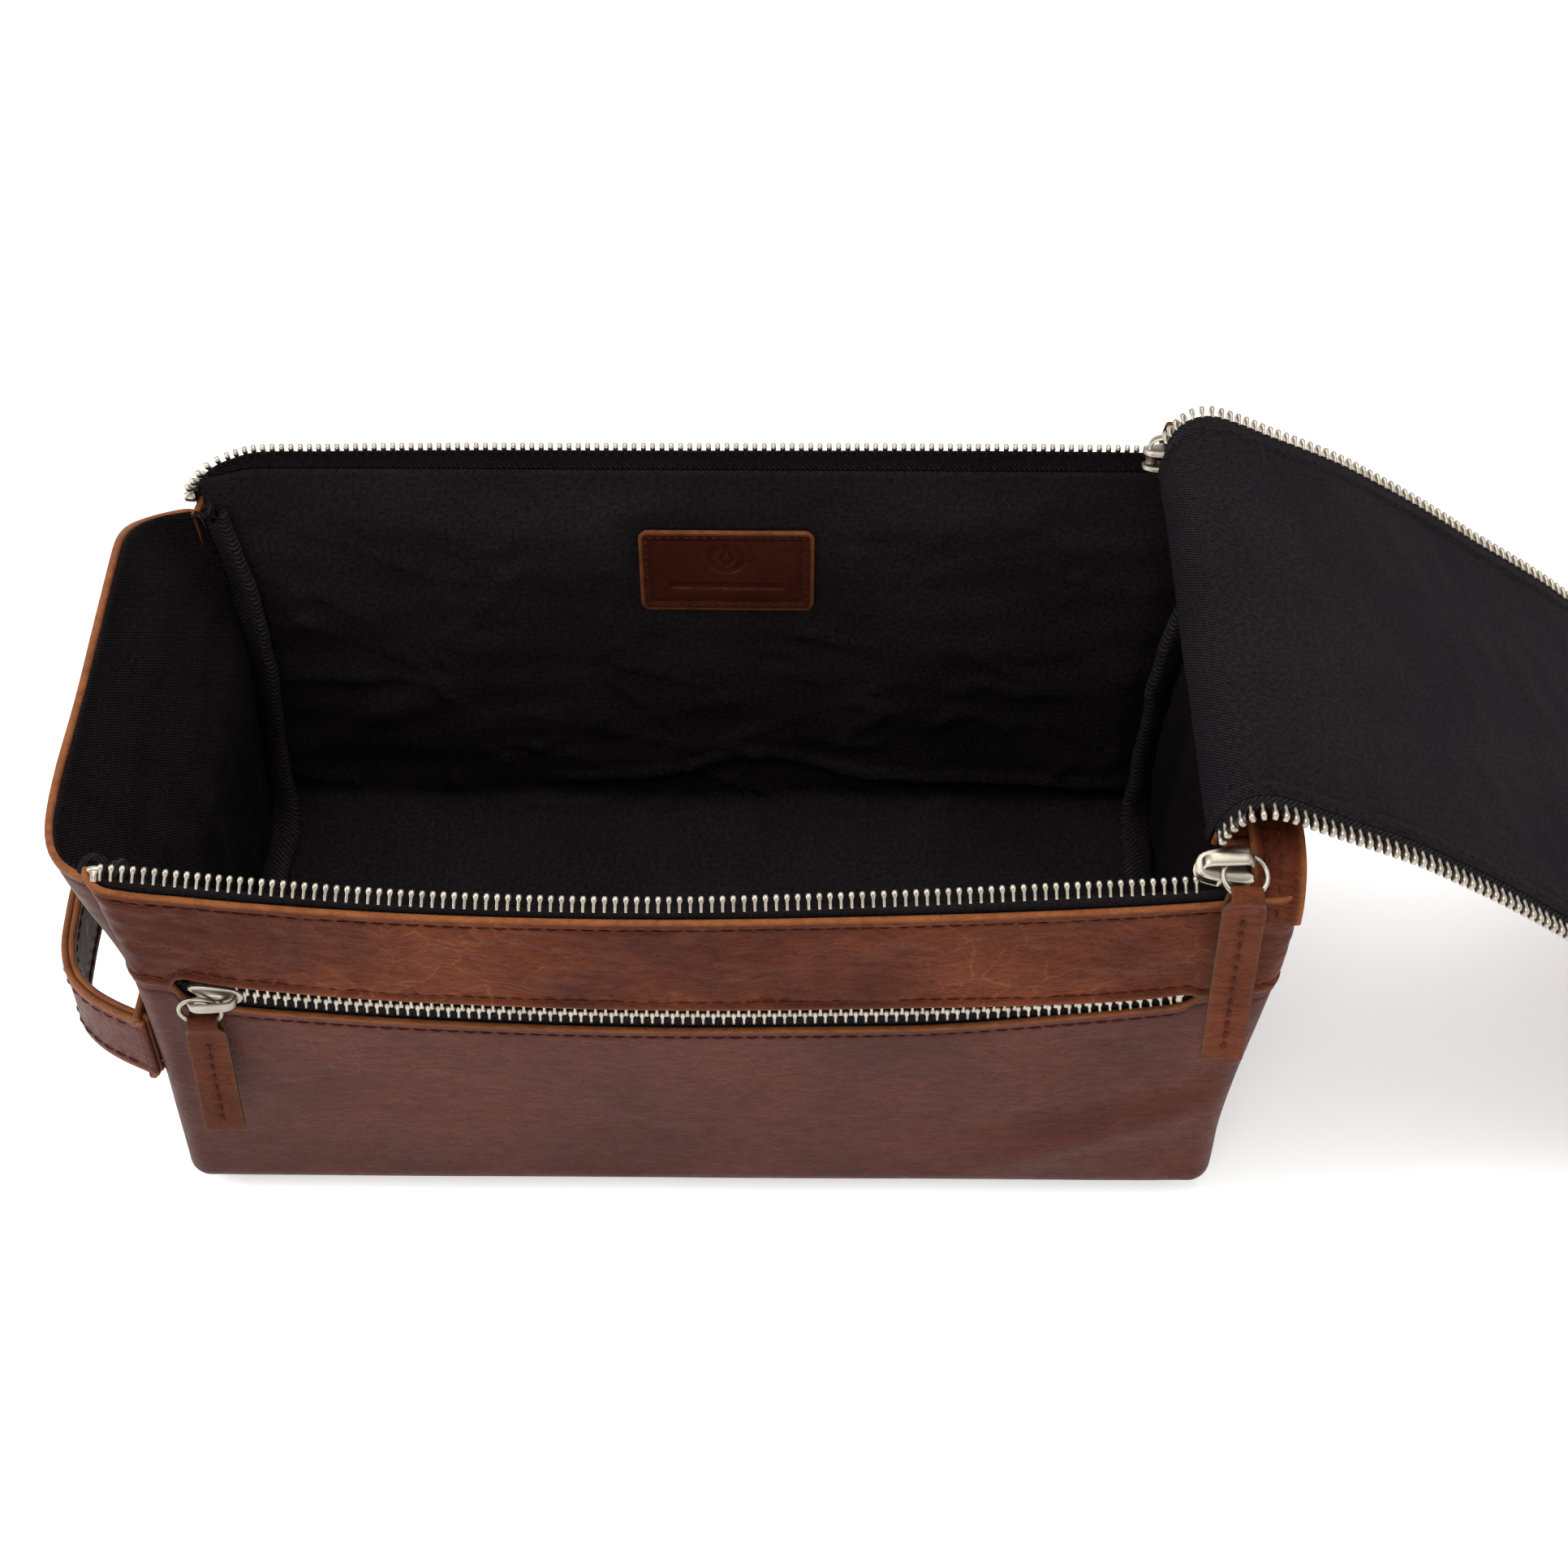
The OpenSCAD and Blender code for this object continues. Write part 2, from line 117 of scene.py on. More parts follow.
def through(knots, at):
    """Smooth curve through rows of (position, value...).

    Cubic Hermite between neighbours; the slope at a knot is the mean of its two chords.
    """
    knots = np.asarray(knots, float)
    place, value = knots[:, 0], knots[:, 1:]
    chord = np.diff(value, axis=0) / np.diff(place)[:, None]
    slope = np.vstack([chord[:1], (chord[1:] + chord[:-1]) / 2, chord[-1:]])
    at = np.asarray(at, float)
    i = np.clip(np.searchsorted(place, at, side="right") - 1, 0, len(place) - 2)
    gap = place[i + 1] - place[i]
    t = np.clip((at - place[i]) / gap, 0, 1)[..., None]
    gap = gap[..., None]
    out = (
        (2 * t**3 - 3 * t**2 + 1) * value[i]
        + (t**3 - 2 * t**2 + t) * gap * slope[i]
        + (3 * t**2 - 2 * t**3) * value[i + 1]
        + (t**3 - t**2) * gap * slope[i + 1]
    )
    return out[..., 0] if value.shape[1] == 1 else out


def smooth(t):
    """0 below 0, 1 above 1, and 3t^2 - 2t^3 between."""
    t = np.clip(t, 0, 1)
    return t * t * (3 - 2 * t)


def hump(distance, width):
    """1 at distance 0, falling off as a bell of that width."""
    return np.exp(-((distance / width) ** 2))


def ripple(a, b, seed, size, count=7):
    """Sum of plane cosine waves with wavelengths near size and seeded directions; about -1 to 1."""
    rng = np.random.default_rng(seed)
    total = 0
    for _ in range(count):
        turn, phase = rng.uniform(0, 2 * np.pi, 2)
        wave = 2 * np.pi / (size * rng.uniform(0.6, 1.6))
        total = total + np.cos(wave * (a * np.cos(turn) + b * np.sin(turn)) + phase)
    return total / count**0.5 * 0.7


# Distances from a finished edge, in millimetres, at which a leather's grid has a line.
EDGE_STEPS = np.array([0, 0.12, 0.4, 0.8, 1.3, 1.9, 2.5, 2.9, 3.2, 3.5, 3.9, 4.6, 5.8, 7.4])


def lines(low, high, step, near_low=True, near_high=True):
    """Grid positions from low to high, step apart, and close together beside finished edges."""
    inner = EDGE_STEPS[-1] + step
    body = np.linspace(
        low + (inner if near_low else 0), high - (inner if near_high else 0),
        max(2, int(round((high - low) / step))),
    )
    parts = [body]
    if near_low:
        parts.append(low + EDGE_STEPS)
    if near_high:
        parts.append(high - EDGE_STEPS)
    return np.unique(np.round(np.concatenate(parts), 4))


def lengths_along(points):
    """Length along a polyline at each of its points: the running sum of the distances between neighbours."""
    return np.concatenate([[0], np.cumsum(np.linalg.norm(np.diff(points, axis=0), axis=1))])


def by_length(at, run, values):
    """Rows of values at the lengths at, straight between the lengths run that they are given for."""
    return np.stack([np.interp(at, run, values[:, k]) for k in range(values.shape[1])], -1)


def quarter_drop(gap, radius):
    """How far a quarter circle of that radius has dropped at each gap from its edge: radius at 0, nothing
    past it.
    """
    inside = np.clip(radius - gap, 0, radius)
    return radius - np.sqrt(np.clip(radius**2 - inside**2, 0, None))


def path_by_length(points, count=None, step=None):
    """Points spaced evenly along a polyline, by straight interpolation over its length."""
    points = np.asarray(points, float)
    run = lengths_along(points)
    count = count or max(2, int(round(run[-1] / step)) + 1)
    at = np.linspace(0, run[-1], count)
    return by_length(at, run, points)


# ---- meshes ----


def link(mesh, name, material, body=None, replaces=()):
    """Put a mesh in the scene as a piece with its material, body and the nodes it stands for."""
    piece = bpy.data.objects.new(name, mesh)
    bpy.context.collection.objects.link(piece)
    mesh.materials.append(material)
    if replaces:
        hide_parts(*replaces)
    if body:
        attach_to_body(piece, body)
    return piece


def mesh_from(name, points, faces, uv=None, marks=None, flat=False):
    """A mesh from points in millimetres and rows of face corners, with optional UVs and point attributes."""
    mesh = bpy.data.meshes.new(name)
    faces = np.asarray(faces, np.int32)
    corners = faces.shape[1]
    mesh.vertices.add(len(points))
    mesh.vertices.foreach_set("co", (np.asarray(points, float) * MM).astype(np.float32).ravel())
    mesh.loops.add(faces.size)
    mesh.loops.foreach_set("vertex_index", faces.ravel())
    mesh.polygons.add(len(faces))
    mesh.polygons.foreach_set("loop_start", np.arange(0, faces.size, corners, dtype=np.int32))
    mesh.polygons.foreach_set("use_smooth", np.full(len(faces), not flat))
    mesh.update(calc_edges=True)
    if uv is not None:
        layer = mesh.uv_layers.new(name="UVMap")
        layer.data.foreach_set("uv", (np.asarray(uv)[faces.ravel()] * MM).astype(np.float32).ravel())
    for key, value in (marks or {}).items():
        layer = mesh.attributes.new(key, "FLOAT", "POINT")
        layer.data.foreach_set("value", np.asarray(value, np.float32).ravel())
    mesh.validate()
    return mesh


def grid_faces(rows, columns, offset=0, wrap=False):
    """Quads of a grid of points stored row by row; wrap joins the last column to the first."""
    i, j = np.meshgrid(np.arange(rows - 1), np.arange(columns if wrap else columns - 1), indexing="ij")
    k = (j + 1) % columns
    quads = np.stack([i * columns + j, (i + 1) * columns + j, (i + 1) * columns + k, i * columns + k], -1)
    return quads.reshape(-1, 4) + offset


def normals_of(grid):
    """Unit normal at each point of a grid: its row direction crossed with its column direction."""
    across = np.cross(np.gradient(grid, axis=0), np.gradient(grid, axis=1))
    return across / np.maximum(np.linalg.norm(across, axis=-1, keepdims=True), 1e-9)


def rim_rounding(distance, half):
    """Half a sheet's thickness near a round rim: half * sqrt(1 - (1 - d / half)^2)."""
    return half * np.sqrt(np.clip(1 - (1 - np.clip(distance / half, 0, 1)) ** 2, 0.001, 1))


def sheet_mesh(name, grid, thickness, rim=None, relief=0.0, uv=None, edge=None, trim=None):
    """A closed sheet on a grid: one skin half a thickness out along the normal, one half in, joined round
    the rim.

    rim is each point's distance to the nearest finished rim, which is round; relief moves the outer skin.
    trim is how many rows to drop at the start and the end, for a strip whose shading runs on into the
    next one.
    """
    rows, columns = grid.shape[:2]
    half = np.full((rows, columns), thickness / 2)
    if rim is not None:
        half = rim_rounding(rim, thickness / 2)
    normal = normals_of(grid)
    outer = grid + normal * (half + relief)[..., None]
    inner = grid - normal * half[..., None]
    uv = grid[..., :2] if uv is None else uv
    edge = np.zeros((rows, columns)) if edge is None else edge
    shade = None
    if trim:
        keep = slice(trim[0], rows - trim[1])
        shade = np.concatenate([normals_of(outer)[keep].reshape(-1, 3),
                                -normals_of(inner)[keep].reshape(-1, 3)])
        outer, inner, uv, edge = outer[keep], inner[keep], uv[keep], edge[keep]
        rows = outer.shape[0]
    points = np.concatenate([outer.reshape(-1, 3), inner.reshape(-1, 3)])
    count = rows * columns
    quads = grid_faces(rows, columns)
    index = np.arange(count).reshape(rows, columns)
    border = np.concatenate([index[:, 0], index[-1, 1:], index[-2::-1, -1], index[0, -2:0:-1]])
    following = np.roll(border, -1)
    band = np.stack([border, following, following + count, border + count], -1)
    faces = np.concatenate([quads, quads[:, ::-1] + count, band[:, ::-1]])
    uv = np.concatenate([uv.reshape(-1, 2)] * 2)
    edge = np.concatenate([edge.ravel(), np.maximum(edge.ravel(), 0.25)])
    mesh = mesh_from(name, points, faces, uv, {"edge": edge})
    if shade is not None:
        mesh.normals_split_custom_set_from_vertices(shade)
    return mesh


def tube_rings(path, sections, up):
    """A profile carried along a path, one ring of points for each path point.

    sections holds one closed ring of (side, up) offsets, or one for each path point.
    """
    path = np.asarray(path, float)
    tangent = np.gradient(path, axis=0)
    tangent /= np.linalg.norm(tangent, axis=1, keepdims=True)
    up = np.broadcast_to(np.asarray(up, float), path.shape)
    side = np.cross(tangent, up)
    side /= np.linalg.norm(side, axis=1, keepdims=True)
    up = np.cross(side, tangent)
    sections = np.broadcast_to(np.asarray(sections, float), (len(path),) + np.asarray(sections).shape[-2:])
    return path[:, None] + side[:, None] * sections[..., :1] + up[:, None] * sections[..., 1:2]


def capped_rings(rings):
    """Points and quads of a tube of rings, its two ends closed to their middles."""
    count, around = rings.shape[:2]
    first, last = rings[0].mean(0), rings[-1].mean(0)
    points = np.concatenate([rings.reshape(-1, 3), np.repeat(first[None], around, 0),
                             np.repeat(last[None], around, 0)])
    body = grid_faces(count, around, wrap=True)
    k = np.arange(around)
    n = (k + 1) % around
    start, stop = count * around, (count + 1) * around
    low = np.stack([start + k, k, n, start + n], -1)
    high = np.stack([(count - 1) * around + k, stop + k, stop + n, (count - 1) * around + n], -1)
    return points, np.concatenate([body, low, high])


def copies(points, faces, origins, x_axes, y_axes, z_axes):
    """Set one small shape at many places: origin + x * x_axis + y * y_axis + z * z_axis for every copy."""
    placed = (
        origins[:, None]
        + points[None, :, :1] * x_axes[:, None]
        + points[None, :, 1:2] * y_axes[:, None]
        + points[None, :, 2:] * z_axes[:, None]
    )
    shift = (np.arange(len(origins)) * len(points))[:, None, None]
    return placed.reshape(-1, 3), (faces[None] + shift).reshape(-1, faces.shape[1])


def joined(parts):
    """Points and faces of several shapes as one."""
    points, faces, start = [], [], 0
    for some, quads in parts:
        points.append(some)
        faces.append(quads + start)
        start += len(some)
    return np.concatenate(points), np.concatenate(faces)


def unit(vectors):
    """Vectors divided by their lengths."""
    vectors = np.asarray(vectors, float)
    return vectors / np.linalg.norm(vectors, axis=-1, keepdims=True)


# ---- the body's own shape, in millimetres ----

HALF_LONG = 134.0
HALF_BASE = 67.5
FOLD = 9.0  # radius of the leather's fold along the base
TURN = 5.0  # radius by which the leather turns in at the end seams
MOUTH_SLOPE = 6.5 / 119  # how much the front and back lean out with height


def front_sag(x):
    """How much the front's top edge hangs out along its length: 0 at the ends, 1 in the middle."""
    return through([(-137, 0), (-130, 0.02), (-100, 0.41), (-64, 0.81), (-9, 1.0), (46, 0.74), (82, 0.46),
                    (115, 0.19), (128, 0.04), (140, 0)], x)


def front_y(x, z):
    """Outer face of the front: the leaning wall, plus the sag growing with height."""
    return -(HALF_BASE + MOUTH_SLOPE * (z - FOLD) + size("sag") * front_sag(x) * smooth(z / 125))


def back_y(x, z):
    """Outer face of the back: the leaning wall, slightly full in the middle, pinched at the left end's
    top.
    """
    pinch = 4.5 * smooth((-116 - x) / 18) * smooth((z - 70) / 50)
    full = 1.2 * np.cos(np.pi * x / 280) * np.sin(np.pi * np.clip(z / 130, 0, 1))
    return HALF_BASE + MOUTH_SLOPE * (z - FOLD) + full - pinch


def foot_inset(z, radius=6.0):
    """How far both ends draw in over the last 6 mm above the floor, along a quarter circle."""
    return quarter_drop(z, radius)


def left_x(z):
    """Outer face of the left end at its seams: the foot, then a curve that leans out above."""
    return foot_inset(z) + through([(-1, -133.4), (8, -132.9), (34, -132), (55, -131.3), (81, -131.4),
                                    (103, -132.1), (120, -133.4), (136, -135.2)], z)


def right_x(z):
    """Outer face of the right end at its seams, fuller towards the top."""
    return -foot_inset(z) + through([(-1, 131.3), (10.8, 131.4), (29, 131.2), (50.6, 132.4), (80.7, 135.2),
                                     (102.6, 137.0), (120.5, 137.2), (143, 135)], z)


def pocket_line(x):
    """Height of the pocket's zip line."""
    return through([(-136, 96), (-121, 93.6), (-112, 91.2), (-90, 88.8), (-68, 87.6), (-10, 85.7), (28, 85.4),
                    (70, 86.2), (100, 88.6), (111, 90.3), (122, 92.8), (140, 94)], x)


def front_top(x):
    """Height of the front's turned top edge."""
    return through([(-138, 134), (-133, 132.3), (-128, 130.6), (-110, 129.0), (-64, 127.3), (-9, 126.7),
                    (46, 126.9), (83, 127.5), (114, 129.0), (128, 130.2), (141, 131)], x)


def back_top(x):
    """Height of the back's turned top edge, dropping at its pinched left corner."""
    return through([(-138, 117), (-134, 119.5), (-130, 124.5), (-122, 128.0), (-98, 129.4), (0, 130),
                    (98, 130), (141, 129.6)], x)


# ---- finishes ----


class Nodes:
    """Short way to add shader nodes to a tree and join them."""

    def __init__(self, tree):
        self.tree = tree
        tree.nodes.clear()

    def add(self, kind, values=None, **settings):
        """A new node: sockets in values are joined, anything else is set as a value."""
        node = self.tree.nodes.new(kind)
        for key, value in settings.items():
            setattr(node, key, value)
        for key, value in (values or {}).items():
            self.feed(node.inputs[key], value)
        return node

    def feed(self, socket, value):
        """Join a socket to an input, or set its value."""
        if isinstance(value, bpy.types.NodeSocket):
            self.tree.links.new(value, socket)
        else:
            socket.default_value = value

    def maths(self, operation, *values):
        """The result of a Math node on one or two values."""
        return self.add("ShaderNodeMath", dict(enumerate(values)), operation=operation).outputs[0]

    def mix(self, factor, a, b, blend="MIX"):
        """Colour a blended with colour b by a factor."""
        node = self.add("ShaderNodeMix", {0: factor, 6: a, 7: b}, data_type="RGBA", blend_type=blend)
        return node.outputs[2]

    def ramp(self, value, low, high):
        """0 below low, 1 above high, straight between."""
        node = self.add("ShaderNodeMapRange", {"Value": value, "From Min": low, "From Max": high})
        return node.outputs[0]


def rgba(value):
    """A colour with full opacity."""
    return tuple(value) + (1.0,)


def group(name, inputs, outputs):
    """A new shader node group with its sockets, ready to fill."""
    tree = bpy.data.node_groups.new(name, "ShaderNodeTree")
    for key, kind, default in inputs:
        socket = tree.interface.new_socket(key, in_out="INPUT", socket_type=kind)
        if default is not None:
            socket.default_value = default
    for key, kind in outputs:
        tree.interface.new_socket(key, in_out="OUTPUT", socket_type=kind)
    nodes = Nodes(tree)
    return nodes, nodes.add("NodeGroupInput").outputs, nodes.add("NodeGroupOutput").inputs


def leather_group():
    """Leather's clouds, fine creases, veins and pores, as a colour, a roughness and a normal; the creases
    also darken the colour, as painted shade.
    """
    n, inn, out = group("Leather grain", [("Vector", "NodeSocketVector", None),
                                          ("Dark", "NodeSocketColor", (0.1, 0.03, 0.02, 1)),
                                          ("Light", "NodeSocketColor", (0.2, 0.06, 0.03, 1)),
                                          ("Edge colour", "NodeSocketColor", (0.3, 0.1, 0.03, 1)),
                                          ("Edge", "NodeSocketFloat", 0.0),
                                          ("Veins", "NodeSocketFloat", 0.3),
                                          ("Rough", "NodeSocketFloat", 0.5)],
                        [("Color", "NodeSocketColor"), ("Roughness", "NodeSocketFloat"),
                         ("Normal", "NodeSocketVector")])
    link_to = n.tree.links.new
    cloud = n.add("ShaderNodeTexNoise", {"Vector": inn["Vector"], "Scale": 22.0, "Detail": 5.0,
                                         "Roughness": 0.6})
    fine = n.add("ShaderNodeTexNoise", {"Vector": inn["Vector"], "Scale": 260.0, "Detail": 4.0,
                                        "Roughness": 0.65})
    warp = n.add("ShaderNodeVectorMath", {0: cloud.outputs["Color"], 1: (0.02, 0.02, 0.02)},
                 operation="MULTIPLY")
    bent = n.add("ShaderNodeVectorMath", {0: inn["Vector"], 1: warp.outputs[0]}, operation="ADD").outputs[0]
    cell = n.add("ShaderNodeTexVoronoi", {"Vector": bent, "Scale": 85.0}, feature="DISTANCE_TO_EDGE")
    vein = n.maths("SUBTRACT", 1.0, n.ramp(cell.outputs["Distance"], 0.0, 0.035))
    patch = n.ramp(cloud.outputs["Fac"], 0.46, 0.60)
    vein = n.maths("MULTIPLY", vein, patch)
    stretch = n.add("ShaderNodeVectorMath", {0: bent, 1: (1.0, 1.0, 5.5)}, operation="MULTIPLY").outputs[0]
    crease = n.add("ShaderNodeTexNoise", {"Vector": stretch, "Scale": 75.0, "Detail": 6.0, "Roughness": 0.72})
    off_crease = n.maths("ABSOLUTE", n.maths("SUBTRACT", crease.outputs["Fac"], 0.5))
    creases_and_shade = n.maths("SUBTRACT", 1.0, n.ramp(off_crease, 0.0, 0.022))
    pores = n.add("ShaderNodeTexVoronoi", {"Vector": inn["Vector"], "Scale": 1500.0})
    tone = n.mix(n.ramp(cloud.outputs["Fac"], 0.38, 0.62), inn["Dark"], inn["Light"])
    tone = n.mix(n.maths("MULTIPLY", n.ramp(fine.outputs["Fac"], 0.35, 0.75), 0.35), tone, inn["Light"])
    tone = n.mix(n.maths("MULTIPLY", vein, inn["Veins"]), tone, inn["Edge colour"])
    # The creases darken the colour towards a near-black brown: painted shade in the creases.
    tone = n.mix(n.maths("MULTIPLY", creases_and_shade, 0.45), tone, n.mix(0.5, inn["Dark"], (0.02, 0.006, 0.005, 1)))
    worn = n.maths("MULTIPLY", inn["Edge"], n.ramp(fine.outputs["Fac"], 0.15, 0.6))
    link_to(n.mix(n.maths("MULTIPLY", n.maths("ADD", worn, n.maths("MULTIPLY", inn["Edge"], 0.5)), 0.62),
                  tone, inn["Edge colour"]), out["Color"])
    link_to(n.maths("ADD", inn["Rough"], n.maths("MULTIPLY", n.maths("SUBTRACT", fine.outputs["Fac"], 0.5),
                                                 0.35)), out["Roughness"])
    bump = n.add("ShaderNodeBump", {"Height": pores.outputs["Distance"], "Strength": 0.28,
                                    "Distance": 0.0003})
    bump = n.add("ShaderNodeBump", {"Height": fine.outputs["Fac"], "Strength": 0.22, "Distance": 0.0005,
                                    "Normal": bump.outputs[0]})
    bump = n.add("ShaderNodeBump", {"Height": n.maths("ADD", vein, creases_and_shade), "Strength": 0.55,
                                    "Distance": 0.0002, "Normal": bump.outputs[0]}, invert=True)
    bump = n.add("ShaderNodeBump", {"Height": cloud.outputs["Fac"], "Strength": 0.5, "Distance": 0.003,
                                    "Normal": bump.outputs[0]})
    link_to(bump.outputs[0], out["Normal"])
    return n.tree


def twill_group():
    """Twill weave: slanted ribs from the piece's UV, with slubs; a colour and a normal."""
    n, inn, out = group(
        "Twill weave",
        [("Vector", "NodeSocketVector", None), ("Base", "NodeSocketColor", (0.01, 0.01, 0.01, 1)),
         ("Pitch", "NodeSocketFloat", 0.0008), ("Zigzag", "NodeSocketFloat", 0.0)],
        [("Color", "NodeSocketColor"), ("Normal", "NodeSocketVector")],
    )
    link_to = n.tree.links.new
    parts = n.add("ShaderNodeSeparateXYZ", {0: inn["Vector"]}).outputs
    slant = n.maths("ADD", parts["X"], parts["Y"])
    folded = n.maths("ADD", n.maths("ABSOLUTE", parts["X"]), parts["Y"])
    along = n.maths("ADD", n.maths("MULTIPLY", slant, n.maths("SUBTRACT", 1.0, inn["Zigzag"])),
                    n.maths("MULTIPLY", folded, inn["Zigzag"]))
    rib = n.maths("SINE", n.maths("DIVIDE", n.maths("MULTIPLY", along, 6.2832), inn["Pitch"]))
    rib = n.maths("ADD", n.maths("MULTIPLY", rib, 0.5), 0.5)
    slub = n.add("ShaderNodeTexNoise", {"Vector": inn["Vector"], "Scale": 900.0, "Detail": 3.0})
    wide = n.add("ShaderNodeTexNoise", {"Vector": inn["Vector"], "Scale": 30.0, "Detail": 3.0})
    light = n.mix(n.maths("MULTIPLY", rib, n.ramp(slub.outputs["Fac"], 0.25, 0.7)),
                  n.mix(1.0, inn["Base"], (0.6, 0.6, 0.6, 1), "MULTIPLY"),
                  n.mix(1.0, inn["Base"], (4.0, 3.8, 3.8, 1), "MULTIPLY"))
    link_to(n.mix(n.ramp(wide.outputs["Fac"], 0.35, 0.7), light,
                  n.mix(1.0, light, (1.35, 1.3, 1.3, 1), "MULTIPLY")), out["Color"])
    bump = n.add("ShaderNodeBump", {"Height": n.maths("ADD", rib, slub.outputs["Fac"]), "Strength": 0.6,
                                    "Distance": 0.0002})
    bump = n.add("ShaderNodeBump", {"Height": wide.outputs["Fac"], "Strength": 0.35, "Distance": 0.004,
                                    "Normal": bump.outputs[0]})
    link_to(bump.outputs[0], out["Normal"])
    return n.tree


def material(name):
    """A new node material: its helper, its Principled node, and object coordinates."""
    made = bpy.data.materials.new(name)
    made.use_nodes = True
    n = Nodes(made.node_tree)
    shader = n.add("ShaderNodeBsdfPrincipled")
    output = n.add("ShaderNodeOutputMaterial")
    made.node_tree.links.new(shader.outputs[0], output.inputs[0])
    return made, n, shader, n.add("ShaderNodeTexCoord").outputs["Object"]


def leather_material(name, grain, dark, light, veins, rough, sheen, gloss, rim=None, flat=False):
    """Leather from the shared grain, lighter along its marked edges; flat runs it over the UV map, not
    through space.
    """
    made, n, shader, place = material(name)
    rim = colours().edge if rim is None else rim
    edge = n.add("ShaderNodeAttribute", attribute_name="edge").outputs["Fac"]
    skin = n.add("ShaderNodeGroup", node_tree=grain)
    for key, value in (("Dark", rgba(dark)), ("Light", rgba(light)), ("Edge colour", rgba(rim)),
                       ("Veins", veins), ("Rough", rough)):
        skin.inputs[key].default_value = value
    link_to = made.node_tree.links.new
    link_to(n.add("ShaderNodeUVMap").outputs[0] if flat else place, skin.inputs["Vector"])
    link_to(edge, skin.inputs["Edge"])
    link_to(skin.outputs["Color"], shader.inputs["Base Color"])
    link_to(skin.outputs["Roughness"], shader.inputs["Roughness"])
    link_to(skin.outputs["Normal"], shader.inputs["Normal"])
    shader.inputs["Specular IOR Level"].default_value = gloss
    shader.inputs["Sheen Weight"].default_value = sheen
    shader.inputs["Sheen Roughness"].default_value = 0.5
    shader.inputs["Sheen Tint"].default_value = (0.75, 0.70, 0.85, 1)
    return made


def cloth_material(name, twill, base, pitch, zigzag=0.0, sheen=0.004):
    """Twill or, with a zigzag of 1, herringbone from the shared weave, laid over the UV map."""
    made, n, shader, _ = material(name)
    flat = n.add("ShaderNodeUVMap").outputs[0]
    weave = n.add("ShaderNodeGroup", node_tree=twill)
    weave.inputs["Base"].default_value = rgba(base)
    weave.inputs["Pitch"].default_value = pitch
    weave.inputs["Zigzag"].default_value = zigzag
    link_to = made.node_tree.links.new
    link_to(flat, weave.inputs["Vector"])
    link_to(weave.outputs["Color"], shader.inputs["Base Color"])
    link_to(weave.outputs["Normal"], shader.inputs["Normal"])
    shader.inputs["Roughness"].default_value = 0.9
    shader.inputs["Specular IOR Level"].default_value = 0.03
    shader.inputs["Sheen Weight"].default_value = sheen
    shader.inputs["Sheen Tint"].default_value = (0.8, 0.8, 1.0, 1)
    return made


def metal_material(name, tone, rough):
    """Nickelled brass: cloudy, a little dull, finely brushed."""
    made, n, shader, place = material(name)
    brushed = n.add("ShaderNodeTexNoise", {"Vector": place, "Scale": 1400.0, "Detail": 3.0})
    cloudy = n.add("ShaderNodeTexNoise", {"Vector": place, "Scale": 160.0, "Detail": 2.0})
    dull = n.mix(n.ramp(cloudy.outputs["Fac"], 0.4, 0.75), rgba(tone), rgba([v * 0.72 for v in tone]))
    link_to = made.node_tree.links.new
    link_to(dull, shader.inputs["Base Color"])
    link_to(n.maths("ADD", n.maths("MULTIPLY", brushed.outputs["Fac"], 0.16), rough),
            shader.inputs["Roughness"])
    bump = n.add("ShaderNodeBump", {"Height": brushed.outputs["Fac"], "Strength": 0.12, "Distance": 0.0001})
    link_to(bump.outputs[0], shader.inputs["Normal"])
    shader.inputs["Metallic"].default_value = 1.0
    return made


def thread_material(name, tone):
    """Twisted thread: matt, with a fine fuzz."""
    made, n, shader, place = material(name)
    fuzz = n.add("ShaderNodeTexNoise", {"Vector": place, "Scale": 2200.0, "Detail": 2.0})
    link_to = made.node_tree.links.new
    link_to(n.mix(n.ramp(fuzz.outputs["Fac"], 0.3, 0.7), rgba([v * 0.6 for v in tone]),
                  rgba([v * 1.5 for v in tone])), shader.inputs["Base Color"])
    bump = n.add("ShaderNodeBump", {"Height": fuzz.outputs["Fac"], "Strength": 0.7, "Distance": 0.0002})
    link_to(bump.outputs[0], shader.inputs["Normal"])
    shader.inputs["Roughness"].default_value = 0.75
    shader.inputs["Specular IOR Level"].default_value = 0.08
    return made


def finish_of(name):
    """A finish by its name; an error if the finishes are not made yet."""
    made = bpy.data.materials.get(name)
    if made is None:
        raise RuntimeError("the finishes have to be made before the pieces: " + name)
    return made


# ---- stitches and teeth ----


def stitch_shape(length, width=0.62, height=0.42):
    """One stitch lying along x: an oval loop of thread sunk at both ends."""
    t = np.linspace(0, 1, 6)
    ring = np.linspace(0, 2 * np.pi, 6, endpoint=False)
    x = (t - 0.5) * length
    lift = np.sin(np.pi * t) * height - 0.16
    wide = width / 2 * (0.55 + 0.45 * np.sin(np.pi * t))
    rings = np.stack([
        np.repeat(x[:, None], 6, 1),
        wide[:, None] * np.cos(ring)[None],
        lift[:, None] + wide[:, None] * 0.7 * np.sin(ring)[None],
    ], -1)
    return capped_rings(rings)


